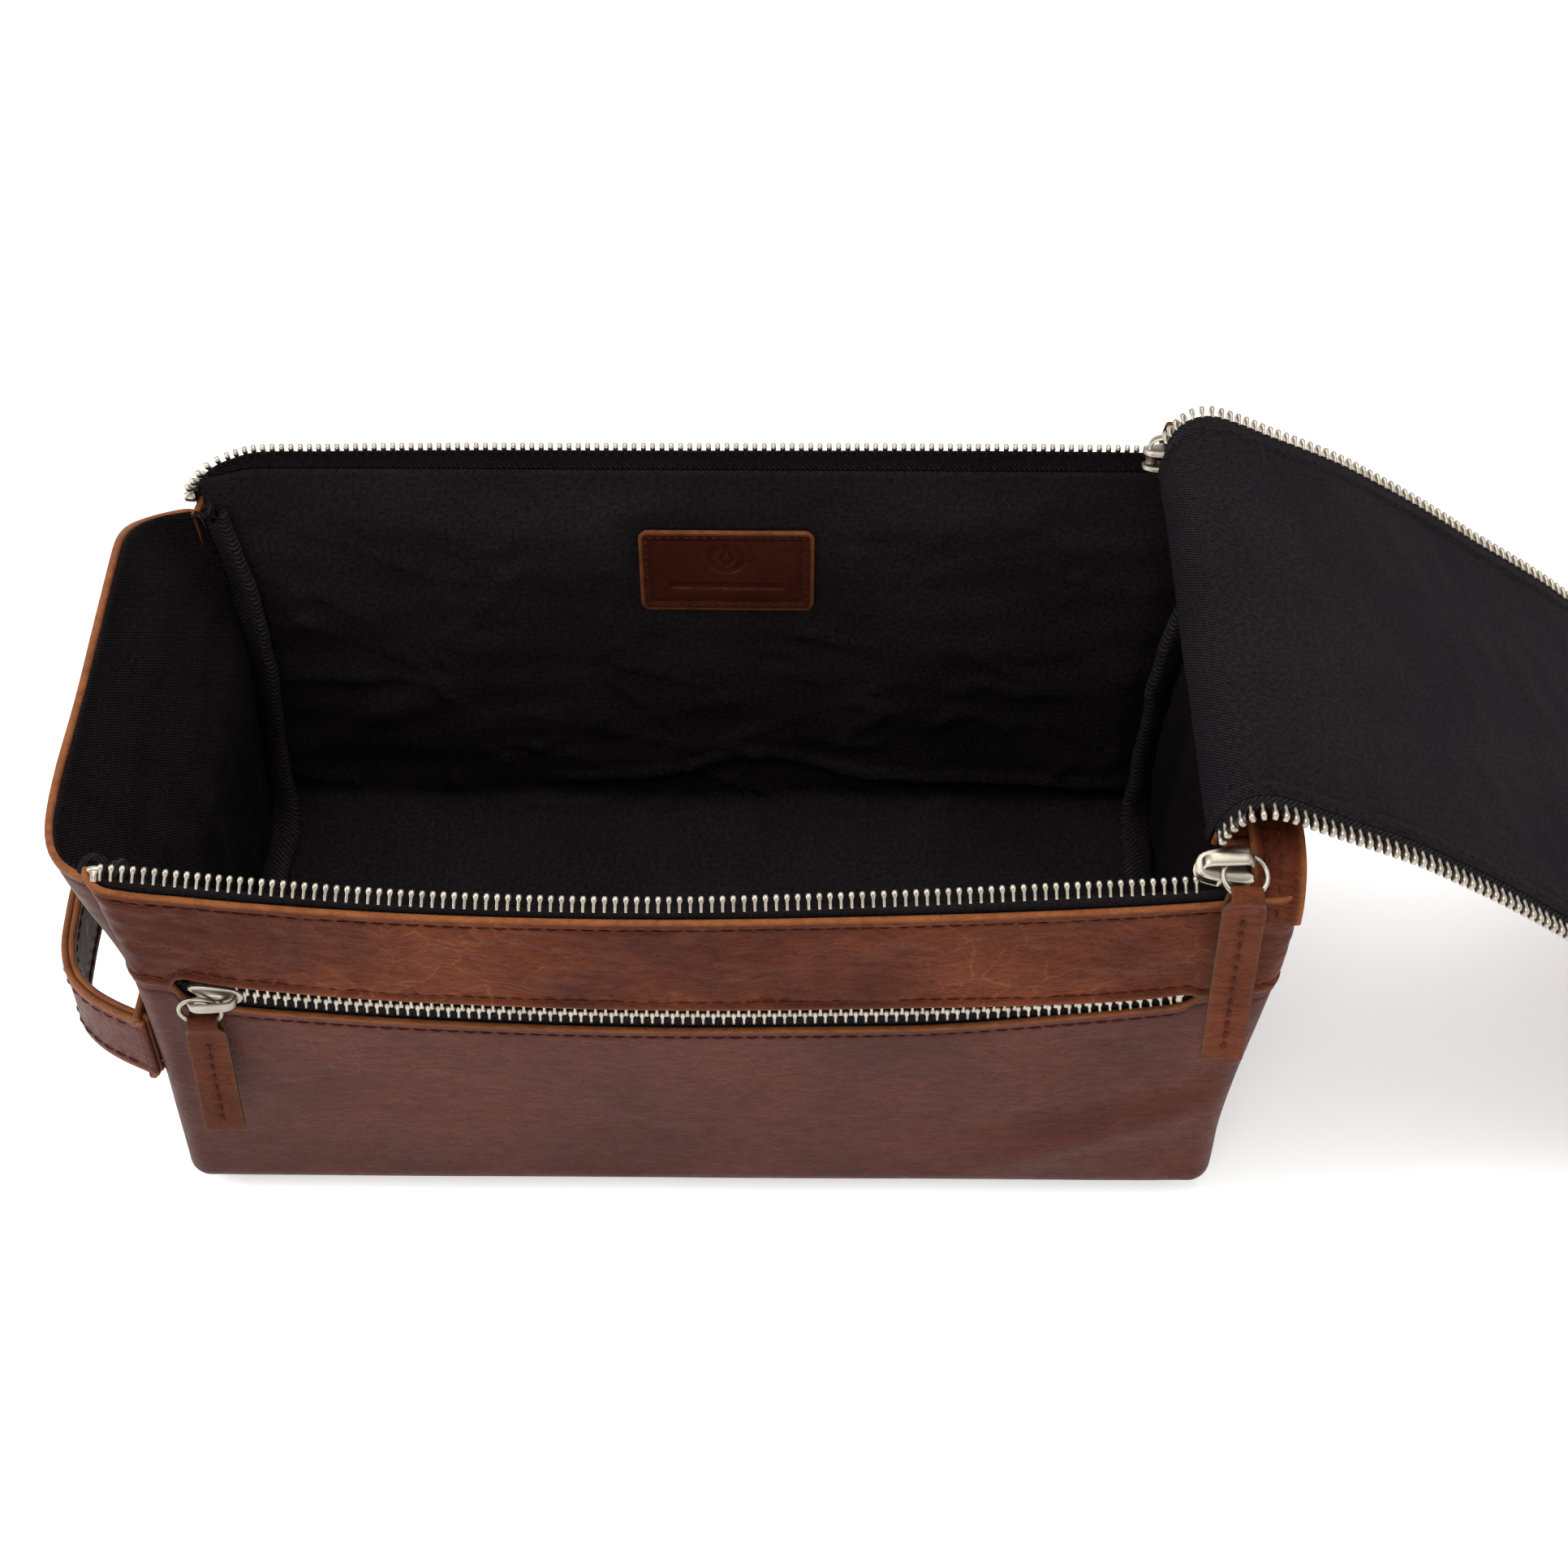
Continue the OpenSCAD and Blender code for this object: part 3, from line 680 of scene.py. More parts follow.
def stitch_mesh(name, runs, pitch=None, gap=0.9, wide=0.62):
    """Rows of stitches; each run has points along it and the surface's outward direction at each point."""
    pitch = pitch or size("stitch")
    parts = []
    shape = stitch_shape(pitch - gap, wide)
    for points, out in runs:
        points = np.asarray(points, float)
        out = np.broadcast_to(np.asarray(out, float), points.shape)
        run = lengths_along(points)
        count = max(1, int(run[-1] / pitch))
        at = (np.arange(count) + 0.5) * run[-1] / count
        spot = by_length(at, run, points)
        ahead = by_length(at + 0.5, run, points) - by_length(at - 0.5, run, points)
        ahead = unit(ahead)
        away = unit(by_length(at, run, out))
        side = unit(np.cross(away, ahead))
        away = np.cross(ahead, side)
        parts.append(copies(shape[0], shape[1], spot, ahead, side, away))
    points, faces = joined(parts)
    return mesh_from(name, points, faces)


def tooth_shape(length, wide, thick):
    """One zip tooth: x along the tape, y out from the tape, z through it; a leg that swells to a rounded
    head.
    """
    y = np.array([0, 0.18, 0.5, 0.68, 0.82, 0.94, 1.0]) * length
    half_x = np.array([0.75, 0.66, 0.66, 1.15, 1.22, 0.98, 0.4]) * wide / 2
    half_z = np.array([1.0, 1.0, 0.96, 0.94, 0.86, 0.66, 0.3]) * thick / 2
    corner = np.array([[1, 0.62], [0.62, 1], [-0.62, 1], [-1, 0.62], [-1, -0.62], [-0.62, -1], [0.62, -1],
                       [1, -0.62]])
    rings = np.stack([
        corner[None, :, 0] * half_x[:, None],
        np.repeat(y[:, None], 8, 1),
        corner[None, :, 1] * half_z[:, None],
    ], -1)
    return capped_rings(rings[::-1])


def teeth_mesh(name, foot, head, pitch=None, phase=0.0, length=None, wide=1.15, thick=2.3):
    """Teeth along a tape's edge: foot and head are matching polylines through the teeth's feet and heads."""
    pitch = pitch or size("pitch")
    foot, head = np.asarray(foot, float), np.asarray(head, float)
    run = lengths_along(foot)
    at = np.arange(phase * pitch + 0.3, run[-1] - 0.3, pitch)
    low = by_length(at, run, foot)
    high = by_length(at, run, head)
    ahead = unit(by_length(at + 1, run, foot) - by_length(at - 1, run, foot))
    out = high - low
    out = unit(out - ahead * np.sum(out * ahead, -1, keepdims=True))
    reach = length or float(np.mean(np.linalg.norm(high - low, axis=1)))
    shape = tooth_shape(reach, wide, thick)
    points, faces = copies(shape[0], shape[1], low, ahead, out, np.cross(ahead, out))
    return mesh_from(name, points, faces)


# ---- pieces ----

RIM_FAR = 99.0  # stands for a distance to the rim that is too far to matter


def rolled(distance):
    """Relief of a turned and stitched edge: a soft roll 3 mm wide, then the dip that the stitches pull in."""
    return 0.35 * (1 - smooth((distance - 1.8) / 1.4)) - 0.32 * hump(distance - 3.3, 0.55)


def front_heights(x, zone):
    """Lower and upper heights of the front's two leathers at each x: below the pocket's zip, or the band
    above it.
    """
    line = pocket_line(x)
    left = np.sqrt(1 - (1 - np.clip((x + 121.5) / 5, 0, 1)) ** 2)
    right = np.sqrt(1 - (1 - np.clip((117.5 - x) / 5, 0, 1)) ** 2)
    half = left * right * (5.0 - 2.2 * smooth((x - 40) / 70))
    if zone == "band":
        return line + half + 0.05, front_top(x)
    return None, line - half * 1.06 - 0.05


def columns_x():
    """Columns from end to end, close together beside the end seams."""
    return lines(-HALF_LONG, HALF_LONG, 2.2)


def spread_x(u, z):
    """x of a column u at height z: the same share of the way between the body's two ends."""
    low, high = left_x(z), right_x(z)
    return low + (u + HALF_LONG) / (2 * HALF_LONG) * (high - low)


def body_leather():
    """Lower front, base and back in one piece.

    Rows run down the front, round a fold of 9 mm, along the base and up the back; columns run from end
    to end.
    The leather turns in by a quarter circle at both ends, where it is seamed.
    """
    leather = size("leather")
    u = columns_x()
    tall = 80.0
    d = lines(0, tall, 2.0, near_high=False)
    d = d[d < tall - 0.4]
    rows = []
    rim = []
    for k in d:
        x = spread_x(u, 86.0 - k)
        top = front_heights(x, "low")[1]
        z = FOLD + (top - FOLD) * (1 - k / tall)
        x = spread_x(u, z)
        rows.append(np.stack([x, front_y(x, z), z], -1))
        rim.append(np.full(len(u), k))
    for turn in np.linspace(0, np.pi / 2, 10):
        x = spread_x(u, 0 * u + FOLD - FOLD * np.sin(turn))
        rows.append(np.stack([x, front_y(x, FOLD) + FOLD * (1 - np.cos(turn)),
                              0 * x + FOLD * (1 - np.sin(turn))], -1))
        rim.append(np.full(len(u), RIM_FAR))
    for y in np.linspace(-56, 56, 40):
        x = spread_x(u, 0 * u)
        rows.append(np.stack([x, 0 * x + y, 0 * x], -1))
        rim.append(np.full(len(u), RIM_FAR))
    for turn in np.linspace(np.pi / 2, 0, 10):
        x = spread_x(u, 0 * u + FOLD - FOLD * np.sin(turn))
        rows.append(np.stack([x, back_y(x, FOLD) - FOLD * (1 - np.cos(turn)),
                              0 * x + FOLD * (1 - np.sin(turn))], -1))
        rim.append(np.full(len(u), RIM_FAR))
    tall_back = 120.0
    d_back = lines(0, tall_back, 3.0, near_high=False)[::-1]
    for k in d_back[d_back < tall_back - 0.4]:
        z = FOLD + (back_top(u) - FOLD) * (1 - k / tall_back)
        x = spread_x(u, z)
        rows.append(np.stack([x, back_y(x, z), z], -1))
        rim.append(np.full(len(u), k))
    outer = np.array(rows)
    rim = np.array(rim)
    normal = normals_of(outer)
    gap = (HALF_LONG - np.abs(u))[None]
    turn_in = quarter_drop(gap, TURN)
    along, high = outer[..., 0], outer[..., 2]
    slack = 0.35 * ripple(along, high + outer[..., 1], 3, 55) * smooth(gap / 12) * smooth(high / 20)
    wall = (outer[..., 1] < -60) * smooth(high / 14)
    uneven = 0.5 + 0.5 * ripple(outer[..., 1], high, 8, 26)
    pull_marks = -0.9 * hump(gap - 8, 3.5) * uneven * smooth(high / 20)
    swell = hump(high - 26 - 0.55 * (along - 96), 6.5) * smooth((along - 55) / 40)
    crease = hump(high - 42 - 0.35 * (along - 96), 7.5) * smooth((along - 45) / 50)
    pull_marks = pull_marks + (1.1 * swell - 0.8 * crease) * wall * smooth(gap / 12)
    mid = outer + normal * (slack + pull_marks - turn_in - leather / 2)[..., None]
    relief = np.where(rim < RIM_FAR, rolled(rim), 0)
    edge = np.where(rim < RIM_FAR, 1 - smooth((rim - 0.1) / 1.0), 0)
    edge = np.maximum(edge, 0.12 * (1 - smooth(gap / 2.2)))
    run = lengths_along(outer[:, len(u) // 2])
    uv = np.stack([outer[..., 0], np.repeat(run[:, None], len(u), 1)], -1)
    mesh = sheet_mesh("body_leather", mid, leather, rim, relief, uv, edge)
    return link(mesh, "body_leather", finish_of("Leather body"), "bag", ["body_wrap"])


def band_leather():
    """The band along the front's top: from its turned top edge down to its turned edge along the pocket's
    zip.
    """
    leather = size("leather")
    u = columns_x()
    tall = 38.0
    d = lines(0, tall, 1.6)
    rows, rim = [], []
    for k in d:
        x = spread_x(u, 0 * u + 128 - k)
        low, top = front_heights(x, "band")
        z = low + (top - low) * (1 - k / tall)
        x = spread_x(u, z)
        rows.append(np.stack([x, front_y(x, z), z], -1))
        rim.append(np.full(len(u), min(k, tall - k)))
    outer, rim = np.array(rows), np.array(rim)
    normal = normals_of(outer)
    gap = (HALF_LONG - np.abs(u))[None]
    turn_in = quarter_drop(gap, TURN)
    place = outer[..., 0], outer[..., 2]
    slack = 0.36 * ripple(*place, 5, 22) * smooth(rim / 6) * smooth(gap / 10)
    slack = slack + 0.20 * ripple(place[0], place[1] * 1.4, 15, 8) * smooth(rim / 5)
    mid = outer + normal * (slack + 0.55 - turn_in - leather / 2)[..., None]
    edge = np.maximum(1 - smooth((rim - 0.1) / 1.0), 0.12 * (1 - smooth(gap / 2.2)))
    mesh = sheet_mesh("band_leather", mid, leather, rim, rolled(rim), outer[..., [0, 2]], edge)
    return link(mesh, "band_leather", finish_of("Leather band"), "bag", ["front_band"])


def left_lean(v, z):
    """How far the left end leans out: growing from z 70 upwards, the same between its corners at v -1 and
    1.
    """
    return 13.5 * smooth((z - 70) / 60) * (1 - np.clip(np.abs(v), 0, 1) ** 14)


def end_outline(z, front, x):
    """How far from the middle an end panel reaches at height z, inside the turned corners and over the
    base's folds.
    """
    reach = (-front_y(x, np.maximum(z, FOLD)) if front else back_y(x, np.maximum(z, FOLD))) - TURN + 0.5
    radius = FOLD - TURN + 0.5
    low = np.clip(FOLD - z, 0, radius)
    return reach - (radius - np.sqrt(np.clip(radius**2 - low**2, 0, None)))


def end_dip(y, z, side):
    """How far an end's top edge drops at its corners: most at the left end's back corner."""
    back, front = (11.5, 1.5) if side < 0 else (3.0, 2.0)
    return (back * smooth((y - 38) / 30) + front * smooth((-y - 56) / 12)) * smooth((z - 60) / 60)


def end_panel(name, side, node, top):
    """An end panel: columns from front to back, rows from the base to its rolled top edge; it turns in
    along its seams.
    """
    leather = size("leather")
    z_rows = np.unique(np.concatenate([TURN - 0.5 + np.array([0, 0.2, 0.5, 0.9, 1.4, 2.0, 2.8, 3.7]),
                                       np.arange(9, top - 8, 2.6), top - EDGE_STEPS]))
    v = np.unique(np.concatenate([lines(-1, 1, 2, False, False), 1 - EDGE_STEPS / 67, -1 + EDGE_STEPS / 67,
                                  np.linspace(-0.86, 0.86, 50)]))
    rows = []
    for z in z_rows:
        x0 = left_x(z) if side < 0 else right_x(z)
        front, back = end_outline(z, True, x0), end_outline(z, False, x0)
        y = np.where(v < 0, v * front, v * back)
        x = x0 + 0 * y
        if side < 0:
            x = x - left_lean(v, z)
        rows.append(np.stack([x, y, z - end_dip(y, z, side)], -1))
    outer = np.array(rows)
    if side < 0:
        outer = outer[:, ::-1]
    outer = outer[::-1]
    normal = normals_of(outer)
    gap_y = (1 - np.abs(v[::side]))[None] * 67
    gap = np.minimum(gap_y, z_rows[::-1, None] - z_rows[0])
    turn_in = quarter_drop(gap, 1.5)
    slack = 0.5 * ripple(outer[..., 1], outer[..., 2], 11 + side, 45) * smooth(gap / 12)
    mid = outer + normal * (slack - turn_in - leather / 2)[..., None]
    rim = np.repeat((top - z_rows[::-1])[:, None], len(v), 1)
    edge = np.maximum(1 - smooth((rim - 0.7) / 1.4), 0.12 * (1 - smooth(gap / 2.0)))
    mesh = sheet_mesh(name, mid, leather * 1.15, rim, rolled(rim) * 0.8, outer[..., [1, 2]], edge)
    return link(mesh, name, finish_of("Leather body"), "bag", [node])


def mouth_front(x):
    """Feet and heads of the front mouth teeth at each x, as (y, z) pairs."""
    k = front_sag(x)
    return np.stack([-(71.9 + 5 * k), 131.5 - 4.4 * k], -1), np.stack([-(69.0 + 5 * k), 134.4 - 5.1 * k], -1)


def mouth_back(x):
    """Feet and heads of the back mouth teeth at each x, as (y, z) pairs."""
    height = through([(-136, 121.5), (-133, 126.0), (-129, 131.0), (-122, 133.4), (-98, 134.6), (0, 135.4),
                      (98, 135.6), (140, 134.8)], x)
    pinch = 4.5 * smooth((-116 - x) / 18)
    return np.stack([71.9 - pinch, height - 2.6], -1), np.stack([70.3 - pinch, height + 1.2], -1)


def mouth_tape(name, front, node):
    """Tape behind the top edge: up inside the leather, then leaning in to the teeth."""
    x = np.linspace(-131.0 if front else -133.8, 131.5, 120)
    foot, head = (mouth_front if front else mouth_back)(x)
    top = front_top(x) if front else back_top(x)
    wall = front_y if front else back_y
    sign = 1 if front else -1
    rows = []
    for below in (13, 9, 5, 2, 0.5):
        z = top - below
        rows.append(np.stack([x, wall(x, z) + sign * 1.8, z], -1))
    for t in (0.35, 0.7, 1.0, 1.06, 1.12):
        last = rows[4]
        goal = np.stack([x, foot[:, 0], foot[:, 1]], -1)
        reach = np.stack([x, head[:, 0], head[:, 1]], -1)
        rows.append(last + (goal - last) * min(t, 1) + (reach - goal) * max(t - 1, 0))
    grid = np.array(rows)
    if front:
        grid = grid[::-1]
    run = np.arange(len(rows))[:, None] * 1.6 + 0 * x[None]
    uv = np.stack([run, np.repeat(x[None], len(rows), 0)], -1)
    mesh = sheet_mesh(name, grid, 0.7, None, 0.0, uv)
    return link(mesh, name, finish_of("Zip tape"), "bag", [node])


def mouth_teeth(name, front, node):
    """One row of the mouth's teeth along its tape, from the left end to its slider."""
    x = np.linspace(-131.5 if front else -133.5, 115, 260)
    foot, head = (mouth_front if front else mouth_back)(x)
    mesh = teeth_mesh(name, np.column_stack([x, foot]), np.column_stack([x, head]),
                      phase=0.0 if front else 0.5)
    return link(mesh, name, finish_of("Zip metal"), "bag", [node])


def pocket_zip():
    """The pocket's zip: two tapes and their meshed teeth, set back under the turned edges."""
    x = np.linspace(-124, 121, 140)
    line = pocket_line(x) + 0.25
    parts = []
    for sign in (-1, 1):
        reach = np.array([9.5, 6, 3.2, 1.9, 0.9])
        rows = [np.stack([x, front_y(x, line + sign * r) + 2.2, line + sign * r], -1) for r in reach]
        grid = np.array(rows)
        if sign < 0:
            grid = grid[::-1]
        uv = np.stack([grid[..., 2] - line[None], grid[..., 0]], -1)
        name = "pocket_tape_upper" if sign > 0 else "pocket_tape_lower"
        mesh = sheet_mesh(name, grid, 0.7, None, 0.0, uv)
        parts.append(link(mesh, name, finish_of("Zip tape"), "bag", ["pocket_zip_tapes"]))
        x2 = np.linspace(-107, 116, 200)
        line2 = pocket_line(x2) + 0.25
        foot = np.column_stack([x2, front_y(x2, line2) + 1.7, line2 + sign * 2.75])
        head = np.column_stack([x2, front_y(x2, line2) + 1.7, line2 - sign * 0.75])
        name = "pocket_teeth_upper" if sign > 0 else "pocket_teeth_lower"
        mesh = teeth_mesh(name, foot, head, phase=0.0 if sign > 0 else 0.5, wide=1.1)
        parts.append(link(mesh, name, finish_of("Zip metal"), "bag", ["pocket_zip_teeth"]))
    return parts


def lining_wrap():
    """Lining of front, base and back, hanging a little loose: soft folds, and creases where the back meets
    the base.
    """
    u = np.linspace(-131.5, 131.0, 150)
    rows = []
    for z in np.linspace(126.5, 12, 34):
        x = u + 0 * z
        edge = front_top(x) - 129 if z > 100 else 0 * x
        zz = z + edge * smooth((z - 100) / 25)
        rows.append(np.stack([x, front_y(x, zz) + 3.4 + 2.4 * hump(zz - 90, 12), zz], -1))
    for turn in np.linspace(0.15, np.pi / 2, 7):
        rows.append(np.stack([u, front_y(u, 12) + 3.4 + 9.6 * (1 - np.cos(turn)),
                              0 * u + 12 - 9.6 * np.sin(turn)], -1))
    for y in np.linspace(-52, 52, 50):
        rows.append(np.stack([u, 0 * u + y, 0 * u + 2.4], -1))
    for turn in np.linspace(np.pi / 2, 0.15, 7):
        rows.append(np.stack([u, back_y(u, 12) - 3.2 - 9.6 * (1 - np.cos(turn)),
                              0 * u + 12 - 9.6 * np.sin(turn)], -1))
    for z in np.linspace(12, 127.5, 60):
        rows.append(np.stack([u, back_y(u, z) - 3.2, 0 * u + z], -1))
    grid = np.array(rows)[::-1]
    normal = normals_of(grid)
    x, y, z = grid[..., 0], grid[..., 1], grid[..., 2]
    calm = smooth((127 - z) / 22) * smooth((130 - np.abs(x)) / 14)
    back = smooth((y - 30) / 20)
    folds = 1.2 * (1 + ripple(x * 1.2, z * 1.2, 21, 62)) * back * calm
    folds += 0.5 * (1 + ripple(x * 0.7, z * 1.3 + x * 0.35, 22, 24)) * back * calm
    for seed, tilt in ((61, 0.10), (62, -0.30), (63, 0.55), (64, -0.12)):
        wave = ripple(x * 0.5, (z + tilt * x), seed, 30)
        here = smooth(ripple(x, z, seed + 9, 50) * 1.5)
        folds += 1.1 * (1 - smooth(np.abs(wave) / 0.12)) * here * back * calm
    low = smooth((45 - z) / 30) * back
    ridge_one = hump(z - (17 + 9 * hump(x - 12, 26) - 0.02 * np.abs(x - 12)), 1.6)
    ridge_one = ridge_one * smooth((x + 60) / 30) * smooth((130 - x) / 20)
    ridge_two = hump((y - 30) - 0.10 * x, 1.6) * smooth((20 - x) / 50) * smooth((x + 128) / 25) * (z < 6)
    slant = hump((z - 40) - 0.55 * (x + 95), 6) * smooth((x + 128) / 14) * smooth((-62 - x) / 26) * back
    folds += 2.6 * ridge_one * low + 1.8 * ridge_two + 1.6 * slant
    folds += 0.8 * (1 + ripple(x, y, 23, 40)) * (z < 8) * smooth((130 - np.abs(x)) / 14)
    near_label = (1 - smooth((np.abs(x - 5) - 22) / 12)) * (1 - smooth((np.abs(z - 95) - 12) / 9)) * back
    folds *= 1 - 0.92 * near_label
    grid = grid + normal * folds[..., None]
    run = lengths_along(grid[:, 75])
    uv = np.stack([x, np.repeat(run[:, None], len(u), 1)], -1)
    mesh = sheet_mesh("lining_main", grid, size("lining"), None, 0.0, uv)
    return link(mesh, "lining_main", finish_of("Lining twill"), "bag", ["lining_wrap"])


def lining_end(name, side, node):
    """Lining of one end, following its panel with soft vertical folds, in a darker copy of the lining cloth
    that paints the shade inside the end.
    """
    z = np.linspace(5.0, 129.9 if side < 0 else 128.6, 56)[:, None]
    v = np.linspace(-1, 1, 60)[None]
    x0 = (left_x if side < 0 else right_x)(z[:, 0])[:, None]
    y = np.where(v < 0, v * (end_outline(z, True, x0) - 0.4), v * (end_outline(z, False, x0) - 0.4))
    z = z + 0 * v
    x = x0 - side * (3.0 - 0.9 * smooth((z - 112) / 16) + 2.2 * smooth((np.abs(v) - 0.93) / 0.06))
    if side < 0:
        x = x - left_lean(v, z) * 0.985
    calm = smooth((126 - z) / 18) * smooth((1 - np.abs(v)) / 0.2)
    broad, small = 1 + ripple(y * 1.5, z * 0.6, 31 + side, 44), 1 + ripple(y, z, 33, 18)
    x = x - side * calm * (1.5 * broad + 0.5 * small)
    grid = np.stack([x, y, z - end_dip(y, z, side)], -1)
    if side < 0:
        grid = grid[:, ::-1]
    uv = np.stack([grid[..., 1], grid[..., 2]], -1)
    mesh = sheet_mesh(name, grid, size("lining"), None, 0.0, uv)
    return link(mesh, name, finish_of("End twill painted shade"), "bag", [node])


# The bindings' way round an end, as (y, z).
BINDING_PLAN = [(-69.5, 128), (-68.5, 100), (-66.5, 60), (-64, 24), (-60, 10), (-52, 5.0), (-20, 4.6),
                (20, 4.6), (52, 5.0), (60, 10), (64.5, 24), (66.5, 60), (68.0, 100), (68.6, 121)]


def soft_square(turn):
    """A unit circle pushed out towards a square: cosine and sine to the power 0.7, with their signs kept."""
    across, up = np.cos(turn), np.sin(turn)
    return np.sign(across) * np.abs(across) ** 0.7, np.sign(up) * np.abs(up) ** 0.7


def binding(name, side, node):
    """Herringbone binding over the end seam's allowance: a flat rib down the front corner, along the base
    and up the back.
    """
    plan = path_by_length(BINDING_PLAN, step=1.0)
    run = np.arange(len(plan))
    plan = through(np.column_stack([run[::7], plan[::7]]), run)
    inward = np.stack([-plan[:, 0], 60 - plan[:, 1]], -1)
    inward[:, 1] = np.where(np.abs(plan[:, 0]) < 50, 60, 0)
    inward = unit(inward)
    wobble = 1.3 * ripple(run, 0 * run, 41 + side, 46) + 0.5 * ripple(run, 0 * run, 44 + side, 15)
    z = plan[:, 1]
    inset = 6.8 + wobble + 2.0 * smooth((30 - z) / 30) - 3.6 * smooth((z - 50) / 70)
    x0 = (left_x(z) if side < 0 else right_x(z)) - side * inset
    centre = np.column_stack([x0, plan[:, 0] + inward[:, 0] * 3.2, plan[:, 1] + inward[:, 1] * 1.6])
    t = np.linspace(0, 2 * np.pi, 20, endpoint=False)
    thick, wide = soft_square(t)
    ring = np.stack([thick * 2.5, wide * 4.4], -1)
    out = np.column_stack([0 * x0 - side * 1.7, inward])
    tangent = unit(np.gradient(centre, axis=0))
    up = unit(out - tangent * np.sum(out * tangent, -1, keepdims=True))
    rings = tube_rings(centre, ring, up)
    points, faces = capped_rings(rings)
    around = np.concatenate([np.tile(ring[:, 1], len(centre)), ring[:, 1], ring[:, 1]])
    along = np.concatenate([np.repeat(run, 20), np.zeros(20), np.full(20, run[-1])])
    mesh = mesh_from(name, points, faces, np.stack([around, along], -1), {"edge": 0 * along})
    return link(mesh, name, finish_of("Binding"), "bag", [node])


def corner_loops():
    """Ends of the bindings curled over the left end's two pinched corners: a round cord of tape along a
    short arc.
    """
    ring = np.linspace(0, 2 * np.pi, 10, endpoint=False)
    section = np.stack([1.25 * np.cos(ring), 0.8 * np.sin(ring)], -1)
    arc = np.array([(-137.2, -67.6, 128.0), (-136.4, -66.0, 130.2), (-134.8, -65.0, 131.2),
                    (-132.8, -65.2, 131.0), (-131.6, -66.8, 130.0), (-132.0, -69.0, 128.2)])
    parts = []
    for scale, shift in (((1, 1, 1), (0, 0, 0)), ((1, -1, 1), (1.6, -2.2, -13.0))):
        path = path_by_length(through(np.column_stack([np.arange(6), arc * scale + shift]),
                                      np.linspace(0, 5, 40)), count=26)
        rings = tube_rings(path, section, (0, 0.3, 1.0))
        if scale[1] < 0:
            rings = rings[:, ::-1]
        parts.append(capped_rings(rings))
    points, faces = joined(parts)
    mesh = mesh_from("corner_loops", points, faces, points[:, [0, 1]] - points[:, [0, 1]].mean(0))
    return link(mesh, "corner_loops", finish_of("Zip tape"), "bag", ["seam_binding_left"])


def rounded_rect_grid(wide, tall, radius, step):
    """Grid over a rectangle with rounded corners, and each point's distance to the outline.

    Near its ends, a row is shortened by how much the corner's arc shortens the rectangle at that height.
    """
    u = lines(-wide / 2, wide / 2, step)
    v = lines(-tall / 2, tall / 2, step)
    a, b = np.meshgrid(u, v, indexing="ij")
    over = np.clip(np.abs(b) - (tall / 2 - radius), 0, radius)
    limit = wide / 2 - radius + np.sqrt(radius**2 - over**2)
    near_end = smooth((np.abs(a) - (wide / 2 - 3 * radius)) / (3 * radius))
    distance = np.minimum(wide / 2 - np.abs(a), tall / 2 - np.abs(b))
    return a * (1 - (1 - limit / (wide / 2)) * near_end), b, distance


def label():
    """Leather patch on the back's lining: rounded corners, sewn all round, pressed with a plain ring,
    lozenge and bar.
    """
    x, y, rim = rounded_rect_grid(47, 28, 3.0, 0.42)
    centre_z = 95.0
    z = centre_z + y
    wall = back_y(5 + x, z) - 5.6 - 0.5 * hump(x - 8, 12) * hump(y, 10)
    grid = np.stack([5 + x, wall, z], -1)
    if normals_of(grid)[2, 2, 1] > 0:
        grid, x, y, rim = grid[::-1], x[::-1], y[::-1], rim[::-1]
    far = np.hypot(x, y - 4.6)
    lozenge = np.abs(x) / 2.0 + np.abs(y - 4.6) / 2.8
    mark = hump(far - 4.6, 0.42) + 0.7 * hump(far - 3.7, 0.25)
    mark = mark + (1 - smooth((np.abs(lozenge - 0.85) - 0.14) / 0.12))
    bar = (1 - smooth((np.abs(x) - 15.0) / 0.4)) * (1 - smooth((np.abs(y + 5.0) - 0.9) / 0.4))
    relief = -0.55 * np.clip(mark + bar, 0, 1) + rolled(rim) * 0.7
    edge = 1 - smooth((rim - 0.5) / 0.9)
    mesh = sheet_mesh("label_leather", grid, 1.1, rim, relief, np.stack([x, y], -1), edge * 0.8)
    link(mesh, "label_leather", finish_of("Leather label"), "bag", ["label_patch"])
    corner = np.linspace(0, np.pi / 2, 8)
    loop = np.concatenate([
        np.stack([sx * 20.0 + np.cos(a0 + corner) * 1.4, sy * 10.6 + np.sin(a0 + corner) * 1.4], -1)
        for sx, sy, a0 in ((1, 1, 0), (-1, 1, np.pi / 2), (-1, -1, np.pi), (1, -1, 3 * np.pi / 2))
    ])
    loop = np.concatenate([loop, loop[:1]])
    run = np.column_stack([5 + loop[:, 0], back_y(5 + loop[:, 0], centre_z + loop[:, 1]) - 6.15,
                           centre_z + loop[:, 1]])
    mesh = stitch_mesh("label_stitches", [(run, (0, -1, 0))], pitch=2.4, gap=0.7)
    return link(mesh, "label_stitches", finish_of("Thread"), "bag")


def pouch():
    """The pocket's cloth bag, hidden between the front's leather and lining."""
    x = np.linspace(-118, 116, 60)[None]
    z = np.linspace(16, 108, 30)[:, None]
    grid = np.stack([x + 0 * z, front_y(x, z) + 2.7 + 0 * x, z + 0 * x], -1)
    mesh = sheet_mesh("pocket_cloth", grid, 0.4, None, 0.0, grid[..., [0, 2]])
    return link(mesh, "pocket_cloth", finish_of("Lining twill"), "bag", ["pocket_pouch"])


# The zip covers' curve over the top edge, as (share, y outward, z).
COVER_CURVE = [(0, 57.0, 138.3), (0.3, 63.5, 138.0), (0.5, 68.6, 136.0), (0.68, 71.6, 132.2),
               (0.84, 73.4, 127.6), (1, 73.9, 122.6)]


